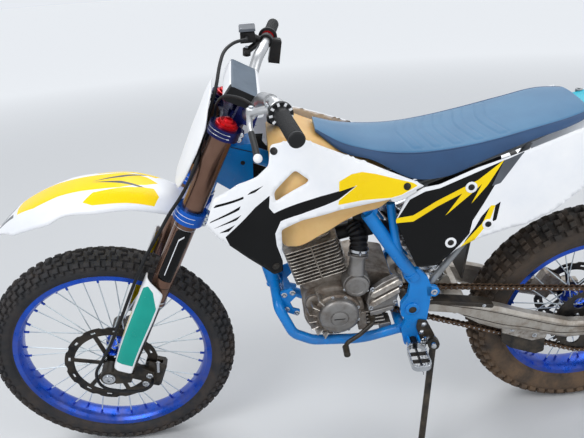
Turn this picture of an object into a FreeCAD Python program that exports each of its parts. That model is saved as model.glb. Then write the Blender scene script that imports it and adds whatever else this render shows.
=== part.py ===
import FreeCAD, Part
import math
import os
import Sketcher
from FreeCAD import Placement, Rotation, Vector

# A trail motorcycle of the 250 enduro class, parked on its side stand.
# Every piece is drawn on the upright motorcycle: X runs rearward from the front axle, Y to the
# rider's right and Z up from the ground. One placement then leans it to the left, onto its stand,
# and puts the origin at the middle of the floor that it covers.

os.makedirs("parts", exist_ok=True)
doc = FreeCAD.newDocument("DirtBike")

# Driving dimensions in millimetres and degrees: name, value.
SIZES = (
    # stance
    ("lean", 11), ("origin_x", 682), ("origin_y", -216), ("fit", 0.3), ("running_gap", 5),
    # chassis lines
    ("wheelbase", 1370), ("rake", 27), ("trail", 110), ("fork_offset", 22), ("fork_half_spacing", 100),
    # front wheel
    ("front_tyre_radius", 345), ("front_crown", 50), ("front_tyre_half_width", 44),
    ("front_lug_height", 11), ("front_lug_length", 26), ("front_rim_radius", 277.5),
    ("front_rim_half_width", 30), ("front_rim_depth", 22), ("front_flange_radius", 31),
    ("front_flange_spacing", 31), ("front_barrel_radius", 19), ("front_hub_half_width", 52),
    # rear wheel
    ("rear_tyre_radius", 339), ("rear_crown", 64), ("rear_tyre_half_width", 55),
    ("rear_lug_height", 14), ("rear_lug_length", 28), ("rear_rim_radius", 242.5),
    ("rear_rim_half_width", 36), ("rear_rim_depth", 23), ("rear_flange_radius", 40),
    ("rear_flange_spacing", 34), ("rear_barrel_radius", 28), ("rear_hub_half_width", 58),
    # both wheels
    ("rim_wall", 3.5), ("spoke_width", 3.4), ("axle_radius", 10), ("lug_sectors", 36),
    ("spoke_count", 36), ("tyre_bead_height", 11),
    # discs, sprocket and chain
    ("front_disc_radius", 130), ("rear_disc_radius", 110), ("disc_band", 26), ("disc_thickness", 3),
    ("front_disc_y", -62), ("rear_disc_y", 62), ("chain_clearance", 6), ("chain_pitch", 15.875),
    ("rear_teeth", 44), ("front_teeth", 13), ("sprocket_thickness", 5), ("output_x", 760),
    ("output_z", 500), ("chain_half_height", 7.5), ("chain_plate", 3), ("chain_inner_width", 8),
    # fork
    ("outer_tube_radius", 27), ("inner_tube_radius", 22), ("outer_tube_foot", 651),
    ("lower_clamp_foot", 903), ("lower_clamp_height", 35), ("head_tube_length", 192),
    ("upper_clamp_height", 25), ("cap_height", 8), ("stem_radius", 14), ("clamp_boss_radius", 38),
    ("axle_lead", 37), ("lug_radius", 24), ("cap_radius", 20),
    # handlebar
    ("bar_radius", 11), ("bar_middle_radius", 14), ("bar_rise", 29), ("bar_clamp_n", -20),
    ("bar_half_width", 400), ("grip_radius", 16.5), ("grip_length", 125), ("lever_clearance", 23),
    ("pad_half_width", 100), ("pad_lift", 8), ("pad_height", 40), ("hose_radius", 4.2),
    ("cable_radius", 3.2),
    # frame
    ("head_tube_radius", 26), ("head_bore_radius", 19), ("side_tube_radius", 17),
    ("cradle_radius", 14), ("backbone_radius", 20), ("downtube_radius", 19), ("arm_clearance", 1),
    ("cradle_half_width", 100), ("plate_thickness", 14), ("pivot_x", 834), ("pivot_z", 492),
    ("rail_radius", 10), ("rail_half_width", 66), ("rack_hole_radius", 4), ("rack_hole_depth", 16),
    ("seat_foot_radius", 9), ("seat_foot_length", 70),
    # swingarm
    ("arm_width", 32), ("pivot_boss_radius", 22), ("pivot_bolt_radius", 8),
    # engine
    ("crank_x", 631), ("crank_z", 474), ("cylinder_tilt", 15), ("fin_count", 11), ("fin_pitch", 10.5),
    ("fin_thickness", 3), ("fin_size", 146), ("barrel_radius", 50), ("cover_radius", 60),
    # plastics
    ("plastic", 3), ("muffler_radius", 46),
    # stand and pegs
    ("stand_x", 890), ("stand_y", -150), ("stand_z", 384), ("stand_radius", 9), ("foot_x", 835),
    ("foot_out", -272), ("foot_radius", 24), ("foot_thickness", 6), ("peg_x", 838), ("peg_z", 386),
    ("peg_length", 92), ("peg_width", 52), ("peg_height", 16),
)

sheet = doc.addObject("Spreadsheet::Sheet", "Sizes")
for row, (alias, value) in enumerate(SIZES, start=1):
    sheet.set("A%d" % row, alias)
    sheet.set("B%d" % row, str(value))
    sheet.setAlias("B%d" % row, alias)
doc.recompute()


def mm(alias):
    return float(sheet.get(alias))


# Lines that follow from the sizes: clamps and bar up the steering axis, then the widths from the chain out.
lean = math.radians(mm("lean"))
rake = math.radians(mm("rake"))
fit = mm("fit")
gap = mm("running_gap")
parked = Placement(Vector(-mm("origin_x"), -mm("origin_y"), 0), Rotation(Vector(1, 0, 0), mm("lean")))
ground_normal = Vector(0, math.sin(lean), math.cos(lean))


def axle_height(end):
    """Height of an axle above the ground line, so that the leaned tyre's crown just meets the ground."""
    crown = mm(end + "_crown")
    return mm(end + "_tyre_radius") - crown + crown / math.cos(lean)


WHEEL_X = {"front": 0.0, "rear": mm("wheelbase")}
AXLE = {end: Vector(WHEEL_X[end], 0, axle_height(end)) for end in WHEEL_X}
AXIS_Y = Rotation(Vector(0, 0, 1), 90)
steer_up = Vector(math.sin(rake), 0, math.cos(rake))
steer_ahead = Vector(-math.cos(rake), 0, math.sin(rake))
steer_foot = Vector(-mm("trail"), 0, 0)
head_foot = mm("lower_clamp_foot") + mm("lower_clamp_height") + gap
head_top = head_foot + mm("head_tube_length")
upper_clamp_foot = head_top + gap
upper_clamp_top = upper_clamp_foot + mm("upper_clamp_height")
fork_top = upper_clamp_top + mm("cap_height")
bar_clamp_s = upper_clamp_top + mm("bar_rise")
pad_foot = bar_clamp_s + mm("bar_middle_radius") + mm("pad_lift")
chain_half_width = mm("chain_inner_width") / 2 + mm("chain_plate")
chain_y = -mm("rear_tyre_half_width") - mm("chain_clearance") - chain_half_width
arm_inner = chain_half_width + gap - chain_y
arm_outer = arm_inner + mm("arm_width")
frame_half_width = arm_outer + mm("arm_clearance") + mm("plate_thickness") / 2


def steer(s, n, y=0.0):
    """A point by its distance s up the steering axis, n ahead of it and y to the right."""
    return steer_foot + steer_up * s + steer_ahead * n + Vector(0, y, 0)


steering = Placement(steer_foot, Rotation(steer_ahead * -1, Vector(0, 1, 0), steer_up, "ZXY"))


# Helpers for shapes

def keep(obj, label, local=Placement()):
    obj.Label = label
    obj.Placement = parked.multiply(local)
    nodes.append(obj)
    return obj


def keep_shape(shape, label):
    obj = doc.addObject("Part::Feature", label)
    obj.Shape = shape
    return keep(obj, label, shape.Placement)


def joined(shapes):
    return shapes[0].fuse(list(shapes[1:])) if len(shapes) > 1 else shapes[0]


def prism(points, depth):
    """A closed outline of points swept by a vector."""
    return Part.Face(Part.makePolygon(list(points) + [points[0]])).extrude(depth)


def rounded(points, radius):
    """A closed outline whose corners are arcs, or corners kept sharp where radius is 0."""
    count = len(points)
    radii = radius if isinstance(radius, (list, tuple)) else [radius] * count
    edges = []
    cuts = []
    for k in range(count):
        before, here, after = points[k - 1], points[k], points[(k + 1) % count]
        first = (before - here).normalize()
        second = (after - here).normalize()
        half = first.getAngle(second) / 2
        reach = radii[k] / math.tan(half)
        centre = here + (first + second).normalize() * (radii[k] / math.sin(half))
        middle = centre + (here - centre).normalize() * radii[k]
        cuts.append((here + first * reach, middle, here + second * reach, radii[k]))
    for k in range(count):
        start, middle, end, size = cuts[k]
        if size > 0:
            edges.append(Part.Arc(start, middle, end).toShape())
        edges.append(Part.LineSegment(end, cuts[(k + 1) % count][0]).toShape())
    return Part.Wire(edges)


def plate(points, radius, depth):
    return Part.Face(rounded(points, radius)).extrude(depth)


def route(points, bend):
    """An open path of straight runs joined by tangent arcs of one radius, or of a radius for each corner."""
    radii = bend if isinstance(bend, (list, tuple)) else [bend] * (len(points) - 2)
    edges = []
    start = points[0]
    for k in range(1, len(points) - 1):
        first = (points[k - 1] - points[k]).normalize()
        second = (points[k + 1] - points[k]).normalize()
        half = first.getAngle(second) / 2
        reach = radii[k - 1] / math.tan(half)
        centre = points[k] + (first + second).normalize() * (radii[k - 1] / math.sin(half))
        middle = centre + (points[k] - centre).normalize() * radii[k - 1]
        edges.append(Part.LineSegment(start, points[k] + first * reach).toShape())
        edges.append(Part.Arc(points[k] + first * reach, middle, points[k] + second * reach).toShape())
        start = points[k] + second * reach
    edges.append(Part.LineSegment(start, points[-1]).toShape())
    return Part.Wire(edges)


def tube(points, bend, radius):
    path = route(points, bend)
    ring = Part.Wire(Part.makeCircle(radius, points[0], points[1] - points[0]))
    return path.makePipeShell([ring], True, False)


def rod(start, end, radius):
    return Part.makeCylinder(radius, (end - start).Length, start, end - start)


def along_y(x, z, radius, start, end):
    return Part.makeCylinder(radius, end - start, Vector(x, start, z), Vector(0, 1, 0))


def mirrored(shape):
    return shape.mirror(Vector(0, 0, 0), Vector(0, 1, 0))


def skin(sections, place):
    """A solid through closed outlines, each a list of points; place turns a station into a vector."""
    wires = []
    for station, outline in sections:
        points = [place(station, *pair) for pair in outline]
        wires.append(Part.makePolygon(points + [points[0]]))
    return Part.makeLoft(wires, True, True)


# PartDesign helpers

def plane_of(body, role):
    return [item for item in body.Origin.OriginFeatures if item.Role == role][0]


def sketch_on(body, role, name):
    sketch = body.newObject("Sketcher::SketchObject", name)
    sketch.AttachmentSupport = [(plane_of(body, role), "")]
    sketch.MapMode = "FlatFace"
    return sketch


def formula(text):
    return float(sheet.evalExpression(text))


def draw_outline(sketch, corners):
    """A closed outline; each corner's two places are formulas of the sheet's sizes."""
    start = sketch.GeometryCount
    places = [Vector(formula(x), formula(y), 0) for x, y in corners]
    for k in range(len(places)):
        sketch.addGeometry(Part.LineSegment(places[k], places[(k + 1) % len(places)]), False)
    for k in range(len(places)):
        after = start + (k + 1) % len(places)
        sketch.addConstraint(Sketcher.Constraint("Coincident", start + k, 2, after, 1))
    for k, (x, y) in enumerate(corners):
        for kind, text, value in (("DistanceX", x, places[k].x), ("DistanceY", y, places[k].y)):
            index = sketch.addConstraint(Sketcher.Constraint(kind, -1, 1, start + k, 1, value))
            sketch.setExpression("Constraints[%d]" % index, sheet_names(text))


def draw_circle(sketch, x, y, radius):
    index = sketch.GeometryCount
    centre = Vector(formula(x), formula(y), 0)
    sketch.addGeometry(Part.Circle(centre, Vector(0, 0, 1), formula(radius)), False)
    for kind, text, value in (("DistanceX", x, centre.x), ("DistanceY", y, centre.y)):
        place = sketch.addConstraint(Sketcher.Constraint(kind, -1, 1, index, 3, value))
        sketch.setExpression("Constraints[%d]" % place, sheet_names(text))
    size = sketch.addConstraint(Sketcher.Constraint("Radius", index, formula(radius)))
    sketch.setExpression("Constraints[%d]" % size, sheet_names(radius))


ALIASES = [alias for alias, value in SIZES]
ARM_OUTER = "rear_tyre_half_width + chain_clearance + chain_inner_width + 2 * chain_plate + running_gap + arm_width"


def sheet_names(text):
    """The same formula as seen from outside the sheet."""
    words = []
    for word in text.replace("(", "( ").replace(")", " )").split():
        words.append("Sizes." + word if word in ALIASES else word)
    return " ".join(words)


def turned_body(label, corners, local):
    """A body turned about its own X axis; corners are (along the axis, radius) formulas."""
    body = doc.addObject("PartDesign::Body", label)
    sketch = sketch_on(body, "XY_Plane", label + "_profile")
    draw_outline(sketch, corners)
    turn = body.newObject("PartDesign::Revolution", label + "_turn")
    turn.Profile = sketch
    turn.ReferenceAxis = (sketch, ["H_Axis"])
    turn.Angle = 360
    return keep(body, label, local)


nodes = []


# Wheels

def tyre(end):
    """A faceted ring of lug sectors, with centre lugs and shoulder lugs on alternate sectors."""
    radius = mm(end + "_tyre_radius")
    crown = mm(end + "_crown")
    half = mm(end + "_tyre_half_width")
    height = mm(end + "_lug_height")
    length = mm(end + "_lug_length")
    rim = mm(end + "_rim_radius")
    bead = mm(end + "_rim_half_width") - mm("rim_wall") - fit
    seat = rim - mm("tyre_bead_height") + fit
    tread = radius - height
    flat = 0.34 * half
    drop = 0.25 * half
    # carcass section: across the tyre, out from the axle
    right = [(bead, seat), (bead, rim + 2), (half, 0.5 * (rim + tread)), (0.86 * half, tread - drop), (flat, tread)]
    section = right + [(-across, out) for across, out in reversed(right)]
    count = int(mm("lug_sectors"))
    turn = 2 * math.pi / count

    def spot(across, out, angle):
        return Vector(out * math.cos(angle), across, out * math.sin(angle))

    faces = []
    for k in range(count):
        low = (k - 0.5) * turn - math.pi / 2
        high = low + turn
        for j in range(len(section)):
            (a0, r0), (a1, r1) = section[j - 1], section[j]
            r0, r1 = r0 / math.cos(turn / 2), r1 / math.cos(turn / 2)
            ring = [spot(a0, r0, low), spot(a1, r1, low), spot(a1, r1, high), spot(a0, r0, high)]
            faces.append(Part.Face(Part.makePolygon(ring + [ring[0]])))
    shell = Part.Shell(faces)
    carcass = Part.Solid(shell)
    if carcass.Volume < 0:
        carcass.reverse()

    def crown_out(across):
        return radius - crown + math.sqrt(crown ** 2 - across ** 2)

    slope = math.tan(lean)
    top = radius - crown + crown / math.cos(lean)
    centre_lug = [(2, tread - 4), (2, top - 2 * slope), (flat + 3, top - (flat + 3) * slope), (flat, tread - 4)]
    inner, outer = flat + 5, 0.88 * half
    foot_in = tread - (inner - flat) / (0.86 * half - flat) * drop
    shoulder_lug = [(inner, foot_in - 3), (inner + 1, crown_out(inner + 1)),
                    (outer + 2, crown_out(outer + 2)), (outer - 1, tread - drop - 3)]
    lugs = []
    for k in range(count):
        lug = centre_lug if k % 2 == 0 else shoulder_lug
        for side in (1, -1):
            ring = [Vector(out, side * across, -length / 2) for across, out in lug]
            solid = prism(ring, Vector(0, 0, length))
            solid.rotate(Vector(0, 0, 0), Vector(0, 1, 0), 90 - math.degrees(k * turn))
            lugs.append(solid)
    shape = carcass.fuse(lugs)
    shape.translate(AXLE[end])
    keep_shape(shape, end + "_tyre")


def rim(end):
    """A dished band with two flanges; the profile runs from the left flange's outer face."""
    radius, half, depth = [end + "_rim_" + part for part in ("radius", "half_width", "depth")]
    bed = radius + " - tyre_bead_height"
    well = radius + " - " + depth
    corners = [
        ("0", radius), ("rim_wall", radius), ("rim_wall", bed), ("2 * " + half + " - rim_wall", bed),
        ("2 * " + half + " - rim_wall", radius), ("2 * " + half, radius), ("2 * " + half, bed + " - rim_wall"),
        ("1.5 * " + half, well), ("0.5 * " + half, well), ("0", bed + " - rim_wall"),
    ]
    turned_body(end + "_rim", corners, Placement(AXLE[end] - Vector(0, mm(half), 0), AXIS_Y))


def hub(end):
    """Barrel with two spoke flanges, bored for the axle, with its crossed spokes."""
    flange = mm(end + "_flange_radius")
    spacing = mm(end + "_flange_spacing")
    barrel = mm(end + "_barrel_radius")
    half = mm(end + "_hub_half_width")
    bore = mm("axle_radius") + fit
    profile = [(-half, bore), (-half, barrel - 3), (-spacing - 4, barrel), (-spacing - 4, flange),
               (-spacing + 4, flange), (-spacing + 4, barrel), (spacing - 4, barrel), (spacing - 4, flange),
               (spacing + 4, flange), (spacing + 4, barrel), (half, barrel - 3), (half, bore)]
    ring = [Vector(out, across, 0) for across, out in profile]
    body = Part.Face(Part.makePolygon(ring + [ring[0]])).revolve(Vector(0, 0, 0), Vector(0, 1, 0), 360)
    count = int(mm("spoke_count"))
    reach = mm(end + "_rim_radius") - mm(end + "_rim_depth") - 2 * fit
    width = mm("spoke_width")
    spokes = []
    for k in range(count):
        side = 1 if k % 2 == 0 else -1
        lead = 1 if k % 4 < 2 else -1
        rim_angle = 2 * math.pi * k / count
        hub_angle = rim_angle - lead * math.radians(58)
        hub_out = flange - 5
        start = Vector(hub_out * math.cos(hub_angle), side * (spacing + lead * 3), hub_out * math.sin(hub_angle))
        end_point = Vector(reach * math.cos(rim_angle), side * 6, reach * math.sin(rim_angle))
        run = (end_point - start).normalize()
        across = run.cross(Vector(0, 1, 0)).normalize()
        up = run.cross(across)
        corners = [start + across * (width / 2 * a) + up * (width / 2 * b)
                   for a, b in ((1, 0), (0, 1), (-1, 0), (0, -1))]
        spokes.append(prism(corners, end_point - start))
    shape = body.fuse(spokes)
    shape.translate(AXLE[end])
    keep_shape(shape, end + "_hub")


def disc(end):
    """Brake disc with a waved edge, slots and a five-armed carrier."""
    radius = mm(end + "_disc_radius")
    y = mm(end + "_disc_y")
    thick = mm("disc_thickness")
    band = mm("disc_band")
    inner = radius - band
    ring = along_y(0, 0, radius, -thick / 2, thick / 2).cut(along_y(0, 0, inner, -thick, thick))
    bite = []
    for k in range(12):
        angle = 2 * math.pi * k / 12
        out = radius + 16
        bite.append(along_y(out * math.cos(angle), out * math.sin(angle), 20, -thick, thick))
        slot_out = radius - band / 2
        slot = Part.makeBox(6, 4 * thick, 14, Vector(slot_out - 3, -2 * thick, -7))
        slot.rotate(Vector(0, 0, 0), Vector(0, 1, 0), 15 - math.degrees(angle))
        bite.append(slot)
    ring = ring.cut(bite)
    seat = mm(end + "_barrel_radius") - 2
    carrier = [along_y(0, 0, seat + 12, -thick / 2, thick / 2)]
    for k in range(6):
        arm = Part.makeBox(inner - seat + 4, thick, 12, Vector(seat, -thick / 2, -6))
        arm.rotate(Vector(0, 0, 0), Vector(0, 1, 0), 60 * k + 15)
        carrier.append(arm)
    side = 1 if y > 0 else -1
    spacer_start, spacer_end = sorted((side * mm(end + "_hub_half_width"), y))
    if spacer_end - spacer_start > 0.5:
        carrier.append(along_y(0, 0, seat, spacer_start - y, spacer_end - y))
    shape = joined([ring] + carrier)
    shape = shape.cut(along_y(0, 0, mm("axle_radius") + fit, -200, 200))
    shape.translate(AXLE[end] + Vector(0, y, 0))
    keep_shape(shape, end + "_disc")


def pitch_radius(teeth):
    return mm("chain_pitch") / (2 * math.sin(math.pi / teeth))


def toothed_wheel(teeth, thickness, bore):
    """A sprocket about the Y axis: one tooth flank pair and root per pitch."""
    out = pitch_radius(teeth)
    root, tip = out - 5.2, out + 4.6
    points = []
    for k in range(int(teeth)):
        for share, radius in ((-0.24, root), (-0.08, tip), (0.08, tip), (0.24, root)):
            angle = 2 * math.pi * (k + share) / teeth
            points.append(Vector(radius * math.cos(angle), -thickness / 2, radius * math.sin(angle)))
    wheel = prism(points, Vector(0, thickness, 0))
    return wheel.cut(along_y(0, 0, bore, -50, 50))


def rear_sprocket():
    teeth = mm("rear_teeth")
    thickness = mm("sprocket_thickness")
    wheel = toothed_wheel(teeth, thickness, mm("axle_radius") + fit)
    holes = []
    for k in range(6):
        angle = math.pi / 3 * k
        holes.append(along_y(74 * math.cos(angle), 74 * math.sin(angle), 20, -20, 20))
    wheel = wheel.cut(holes)
    seat = mm("rear_barrel_radius") + 10
    spacer = along_y(0, 0, seat, thickness / 2, -mm("rear_hub_half_width") - chain_y)
    spacer = spacer.cut(along_y(0, 0, mm("axle_radius") + fit, -50, 50))
    shape = wheel.fuse(spacer)
    shape.translate(AXLE["rear"] + Vector(0, chain_y, 0))
    keep_shape(shape, "rear_sprocket")


def loop_outline(offset, y):
    """The chain's closed line round both sprockets, moved outward by an offset."""
    small = Vector(mm("output_x"), 0, mm("output_z"))
    large = AXLE["rear"]
    r0 = pitch_radius(mm("front_teeth")) + offset
    r1 = pitch_radius(mm("rear_teeth")) + offset
    line = large - small
    base = math.atan2(line.z, line.x)
    swing = math.acos((r0 - r1) / line.Length)

    def rim_point(centre, radius, angle):
        return Vector(centre.x + radius * math.cos(angle), y, centre.z + radius * math.sin(angle))

    top0, top1 = rim_point(small, r0, base + swing), rim_point(large, r1, base + swing)
    low0, low1 = rim_point(small, r0, base - swing), rim_point(large, r1, base - swing)
    edges = [
        Part.LineSegment(top0, top1).toShape(),
        Part.Arc(top1, rim_point(large, r1, base), low1).toShape(),
        Part.LineSegment(low1, low0).toShape(),
        Part.Arc(low0, rim_point(small, r0, base + math.pi), top0).toShape(),
    ]
    return Part.Wire(edges), (top0, top1, low0, low1)


def chain():
    """Two bands of side plates round the sprockets, with rollers between them on the straight runs."""
    half = mm("chain_half_height")
    thick = mm("chain_plate")
    inner = mm("chain_inner_width")
    bands = []
    for start in (-inner / 2 - thick, inner / 2):
        y = chain_y + start
        outside = Part.Face(loop_outline(half, y)[0]).extrude(Vector(0, thick, 0))
        inside = Part.Face(loop_outline(-half, y)[0]).extrude(Vector(0, thick, 0))
        bands.append(outside.cut(inside))
    ends = loop_outline(0, chain_y)[1]
    rollers = []
    for start, end in ((ends[0], ends[1]), (ends[2], ends[3])):
        run = end - start
        step = 2 * mm("chain_pitch")
        count = int((run.Length - 5 * mm("chain_pitch")) / step)
        unit = Vector(run).normalize()
        side = Vector(-unit.z, 0, unit.x)
        first = (run.Length - (count - 1) * step) / 2
        for k in range(count):
            centre = start + unit * (first + k * step) - Vector(0, inner / 2 + 1, 0)
            ring = [centre + unit * (5 * a) + side * (5 * b) for a, b in ((1, 1), (-1, 1), (-1, -1), (1, -1))]
            rollers.append(prism(ring, Vector(0, inner + 2, 0)))
    keep_shape(joined(bands + rollers), "chain")


def axle(end):
    spindle = doc.addObject("Part::Cylinder", end + "_axle")
    spindle.setExpression("Radius", "Sizes.axle_radius")
    beyond = {"front": "fork_half_spacing + 22", "rear": ARM_OUTER + " + 9"}[end]
    spindle.setExpression("Height", sheet_names("2 * ( " + beyond + " )"))
    reach = formula(beyond)
    turn = Rotation(Vector(1, 0, 0), -90)
    keep(spindle, end + "_axle", Placement(AXLE[end] - Vector(0, reach, 0), turn))


# Fork and handlebar

def fork_tubes():
    shapes = []
    for side in (-1, 1):
        y = side * mm("fork_half_spacing")
        n = mm("fork_offset")
        foot, top = mm("outer_tube_foot"), fork_top
        body = rod(steer(foot, n, y), steer(top - 8, n, y), mm("outer_tube_radius"))
        collar = rod(steer(foot - 12, n, y), steer(foot, n, y), mm("outer_tube_radius") + 2)
        cap = rod(steer(top - 8, n, y), steer(top, n, y), mm("cap_radius"))
        bore = rod(steer(foot - 20, n, y), steer(foot + 40, n, y), mm("inner_tube_radius") + fit)
        shapes.append(joined([body, collar, cap]).cut(bore))
    keep_shape(Part.makeCompound(shapes), "fork_tubes")


def fork_sliders():
    """Inner tubes with the lugs that carry the axle ahead of them."""
    shapes = []
    n = mm("fork_offset")
    s_axle = (AXLE["front"] - steer_foot).dot(steer_up)
    n_axle = (AXLE["front"] - steer_foot).dot(steer_ahead)
    for side in (-1, 1):
        y = side * mm("fork_half_spacing")
        leg = rod(steer(s_axle + 20, n, y), steer(mm("outer_tube_foot") + 38, n, y), mm("inner_tube_radius"))
        inner, outer = sorted((side * 78, side * 120))
        lug = along_y(AXLE["front"].x, AXLE["front"].z, mm("lug_radius"), inner, outer)
        corners = [steer(s_axle - 14, n + 12, inner), steer(s_axle - 2, n_axle + 20, inner),
                   steer(s_axle + 36, n + 20, inner), steer(s_axle + 36, n - 22, inner),
                   steer(s_axle + 4, n - 24, inner)]
        web = prism(corners, Vector(0, outer - inner, 0))
        bore = along_y(AXLE["front"].x, AXLE["front"].z, mm("axle_radius"), -200, 200)
        shapes.append(joined([leg, lug, web]).cut(bore))
    keep_shape(Part.makeCompound(shapes), "fork_sliders")
    return shapes[0]


def clamp(foot, height):
    """A fork clamp: two leg bosses and a middle boss in one waisted plate, bored for both legs."""
    n = mm("fork_offset")
    half = mm("fork_half_spacing")
    boss = mm("clamp_boss_radius")
    top = foot + height
    shapes = [rod(steer(foot, n, side * half), steer(top, n, side * half), boss) for side in (-1, 1)]
    shapes.append(rod(steer(foot, 0, 0), steer(top, 0, 0), 30))
    bridge = [steer(foot, -24, 40), steer(foot, -2, half), steer(foot, 42, half), steer(foot, 30, 40),
              steer(foot, 30, -40), steer(foot, 42, -half), steer(foot, -2, -half), steer(foot, -24, -40)]
    shapes.append(prism(bridge, steer_up * height))
    shape = joined(shapes)
    legs = [rod(steer(foot - 5, n, side * half), steer(top + 5, n, side * half), mm("outer_tube_radius"))
            for side in (-1, 1)]
    return shape.cut(legs)


def fork_clamps():
    foot, height = mm("lower_clamp_foot"), mm("lower_clamp_height")
    upper, upper_height = upper_clamp_foot, mm("upper_clamp_height")
    stem = rod(steer(foot, 0, 0), steer(upper, 0, 0), mm("stem_radius"))
    race = mm("head_bore_radius") - fit
    bearings = [rod(steer(foot + height, 0), steer(head_foot + 16, 0), race),
                rod(steer(head_top - 16, 0), steer(upper, 0), race)]
    keep_shape(joined([clamp(foot, height), stem] + bearings), "lower_clamp")
    top = upper_clamp_top
    shape = clamp(upper, upper_height)
    risers = []
    for side in (-1, 1):
        start, end = sorted((side * 28, side * 56))
        ring = [steer(top - 1, -46, start), steer(pad_foot, -42, start),
                steer(pad_foot, 2, start), steer(top - 1, 8, start)]
        risers.append(prism(ring, Vector(0, end - start, 0)))
    bar = rod(steer(bar_clamp_s, mm("bar_clamp_n"), -80), steer(bar_clamp_s, mm("bar_clamp_n"), 80),
              mm("bar_middle_radius"))
    nut = rod(steer(top - 1, 0, 0), steer(top + 7, 0, 0), 17)
    keep_shape(joined([shape, nut] + risers).cut(bar), "upper_clamp")


def fork_guards():
    """A shield in front of each lower leg, wrapped round its outer side."""
    shapes = []
    n = mm("fork_offset")
    for side in (-1, 1):
        y = side * mm("fork_half_spacing")

        def place(s, forward, outward):
            return steer(s, n + forward, y + side * outward)

        thin = mm("plastic")
        # station up the leg, shield's front, outer and rear reach
        sections = []
        for s, front, out, back in ((402, 34, 30, -22), (470, 38, 33, -20), (640, 38, 34, -22), (742, 40, 36, -14)):
            line = [(front - 10, -16), (front, -4), (front, out - 14), (front - 14, out), (back, out)]
            inner = [(back, out - thin), (front - 15, out - thin), (front - thin, out - 15),
                     (front - thin, -3), (front - 11, -13)]
            sections.append((s, line + inner))
        stubs = [rod(place(s, mm("inner_tube_radius") + fit, 0), place(s, front - 1, 0), 7)
                 for s, front in ((444, 36), (612, 38))]
        shapes.append(joined([skin(sections, place)] + stubs))
    keep_shape(Part.makeCompound(shapes), "fork_guards")


HANDLEBAR_BENDS = [45, 50, 38, 38, 50, 45]


def handlebar_points():
    middle = steer(bar_clamp_s, mm("bar_clamp_n"), 0)
    x, z = middle.x, middle.z
    half = mm("bar_half_width")
    side = [Vector(x, 82, z), Vector(x + 34, 142, z + 66), Vector(x + 56, 204, z + 80),
            Vector(x + 88, half, z + 78)]
    return [Vector(p.x, -p.y, p.z) for p in reversed(side)] + side


def handlebar():
    points = handlebar_points()
    thick = tube(points, HANDLEBAR_BENDS, mm("bar_middle_radius"))
    thin = tube(points, HANDLEBAR_BENDS, mm("bar_radius"))
    middle = Part.makeBox(600, 2 * 190, 600, Vector(200, -190, 800))
    keep_shape(thick.common(middle).fuse(thin.cut(middle)), "handlebar")
    grips = []
    for sign in (-1, 1):
        end = points[0] if sign < 0 else points[-1]
        inner = points[1] if sign < 0 else points[-2]
        run = (inner - end).normalize()
        start = end - run * 3
        stop = end + run * mm("grip_length")
        grip = rod(start, stop, mm("grip_radius")).fuse(rod(stop, stop + run * 9, mm("grip_radius") + 9))
        grips.append(grip.cut(rod(end, stop + run * 40, mm("bar_radius") + fit)))
    keep_shape(Part.makeCompound(grips), "grips")


def bar_pad():
    foot = pad_foot
    half = mm("pad_half_width")
    height = mm("pad_height")
    ring = [steer(foot + 2 * fit, -34, -half), steer(foot + height - 4, -30, -half),
            steer(foot + height, 47, -half), steer(foot + 2 * fit, 54, -half)]
    tunnel = tube(handlebar_points(), HANDLEBAR_BENDS, mm("bar_middle_radius") + 4 * fit)
    keep_shape(prism(ring, Vector(0, 2 * half, 0)).cut(tunnel), "bar_pad")


def controls():
    """Clutch lever with its perch on the left, brake lever with its master cylinder on the right."""
    points = handlebar_points()
    start, end = points[-2], points[-1]
    clamp_end = mm("bar_half_width") - mm("grip_length") - mm("lever_clearance")
    for label, sign in (("clutch_lever", -1), ("brake_lever", 1)):
        def at(inward, dx, dz):
            """A point beside the bar, by its distance inward from the outer face of the lever's clamp."""
            y = clamp_end - inward
            share = (y - start.y) / (end.y - start.y)
            base = start + (end - start) * share
            return Vector(base.x + dx, sign * y, base.z + dz)
        band = rod(at(22, 0, 0), at(0, 0, 0), mm("bar_radius") + 7)
        band = band.cut(rod(at(37, 0, 0), at(-8, 0, 0), mm("bar_radius") + fit))
        arm = rod(at(11, -16, -3), at(40, -50, -20), 9)
        knuckle = rod(at(40, -49, -28), at(40, -49, -8), 11)
        lever = tube([at(56, -46, -16), at(16, -58, -34), at(-48, -62, -44), at(-100, -66, -52)], [14, 40], 5.5)
        ball = Part.makeSphere(9, at(-102, -66, -52))
        pieces = [band, arm, knuckle, lever, ball]
        if sign > 0:
            tank = Part.makeBox(40, 56, 30, at(46, -62, 6))
            lid = Part.makeBox(44, 60, 6, at(48, -64, 35))
            neck = rod(at(16, -17, 5), at(16, -34, 14), 9)
            pieces += [tank, lid, neck]
        else:
            tip = at(58, -40, -16)
            pieces.append(rod(tip - Vector(0, 28, 0), tip, 5))
        keep_shape(joined(pieces), label)


def front_fender():
    """A blade over the tyre that hangs under the lower clamp."""
    foot = mm("lower_clamp_foot") - fit
    thin = mm("plastic")
    rear = steer(foot, 8, 0)
    neck = steer(foot, 74, 0)
    # station: X, half width, crown height, edge height
    rows = (
        (-211, 42, 776, 764), (-150, 74, 826, 796), (-85, 92, 858, 820), (-20, 103, 876, 832),
        (62, 104, 884, 836), (150, 90, 874, 834), (neck.x, 72, neck.z, neck.z - 26),
        (rear.x, 60, rear.z, rear.z - 16),
    )

    def place(x, y, z):
        return Vector(x, y, z)

    sections = []
    for x, half, crown, edge in rows:
        upper = [(-half, edge), (-0.86 * half, crown - 0.55 * (crown - edge)), (-0.5 * half, crown),
                 (0.5 * half, crown), (0.86 * half, crown - 0.55 * (crown - edge)), (half, edge)]
        lower = [(y * (1 - thin / half), z - thin) for y, z in reversed(upper)]
        sections.append((x, upper + lower))
    keep_shape(skin(sections, place), "front_fender")


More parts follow.
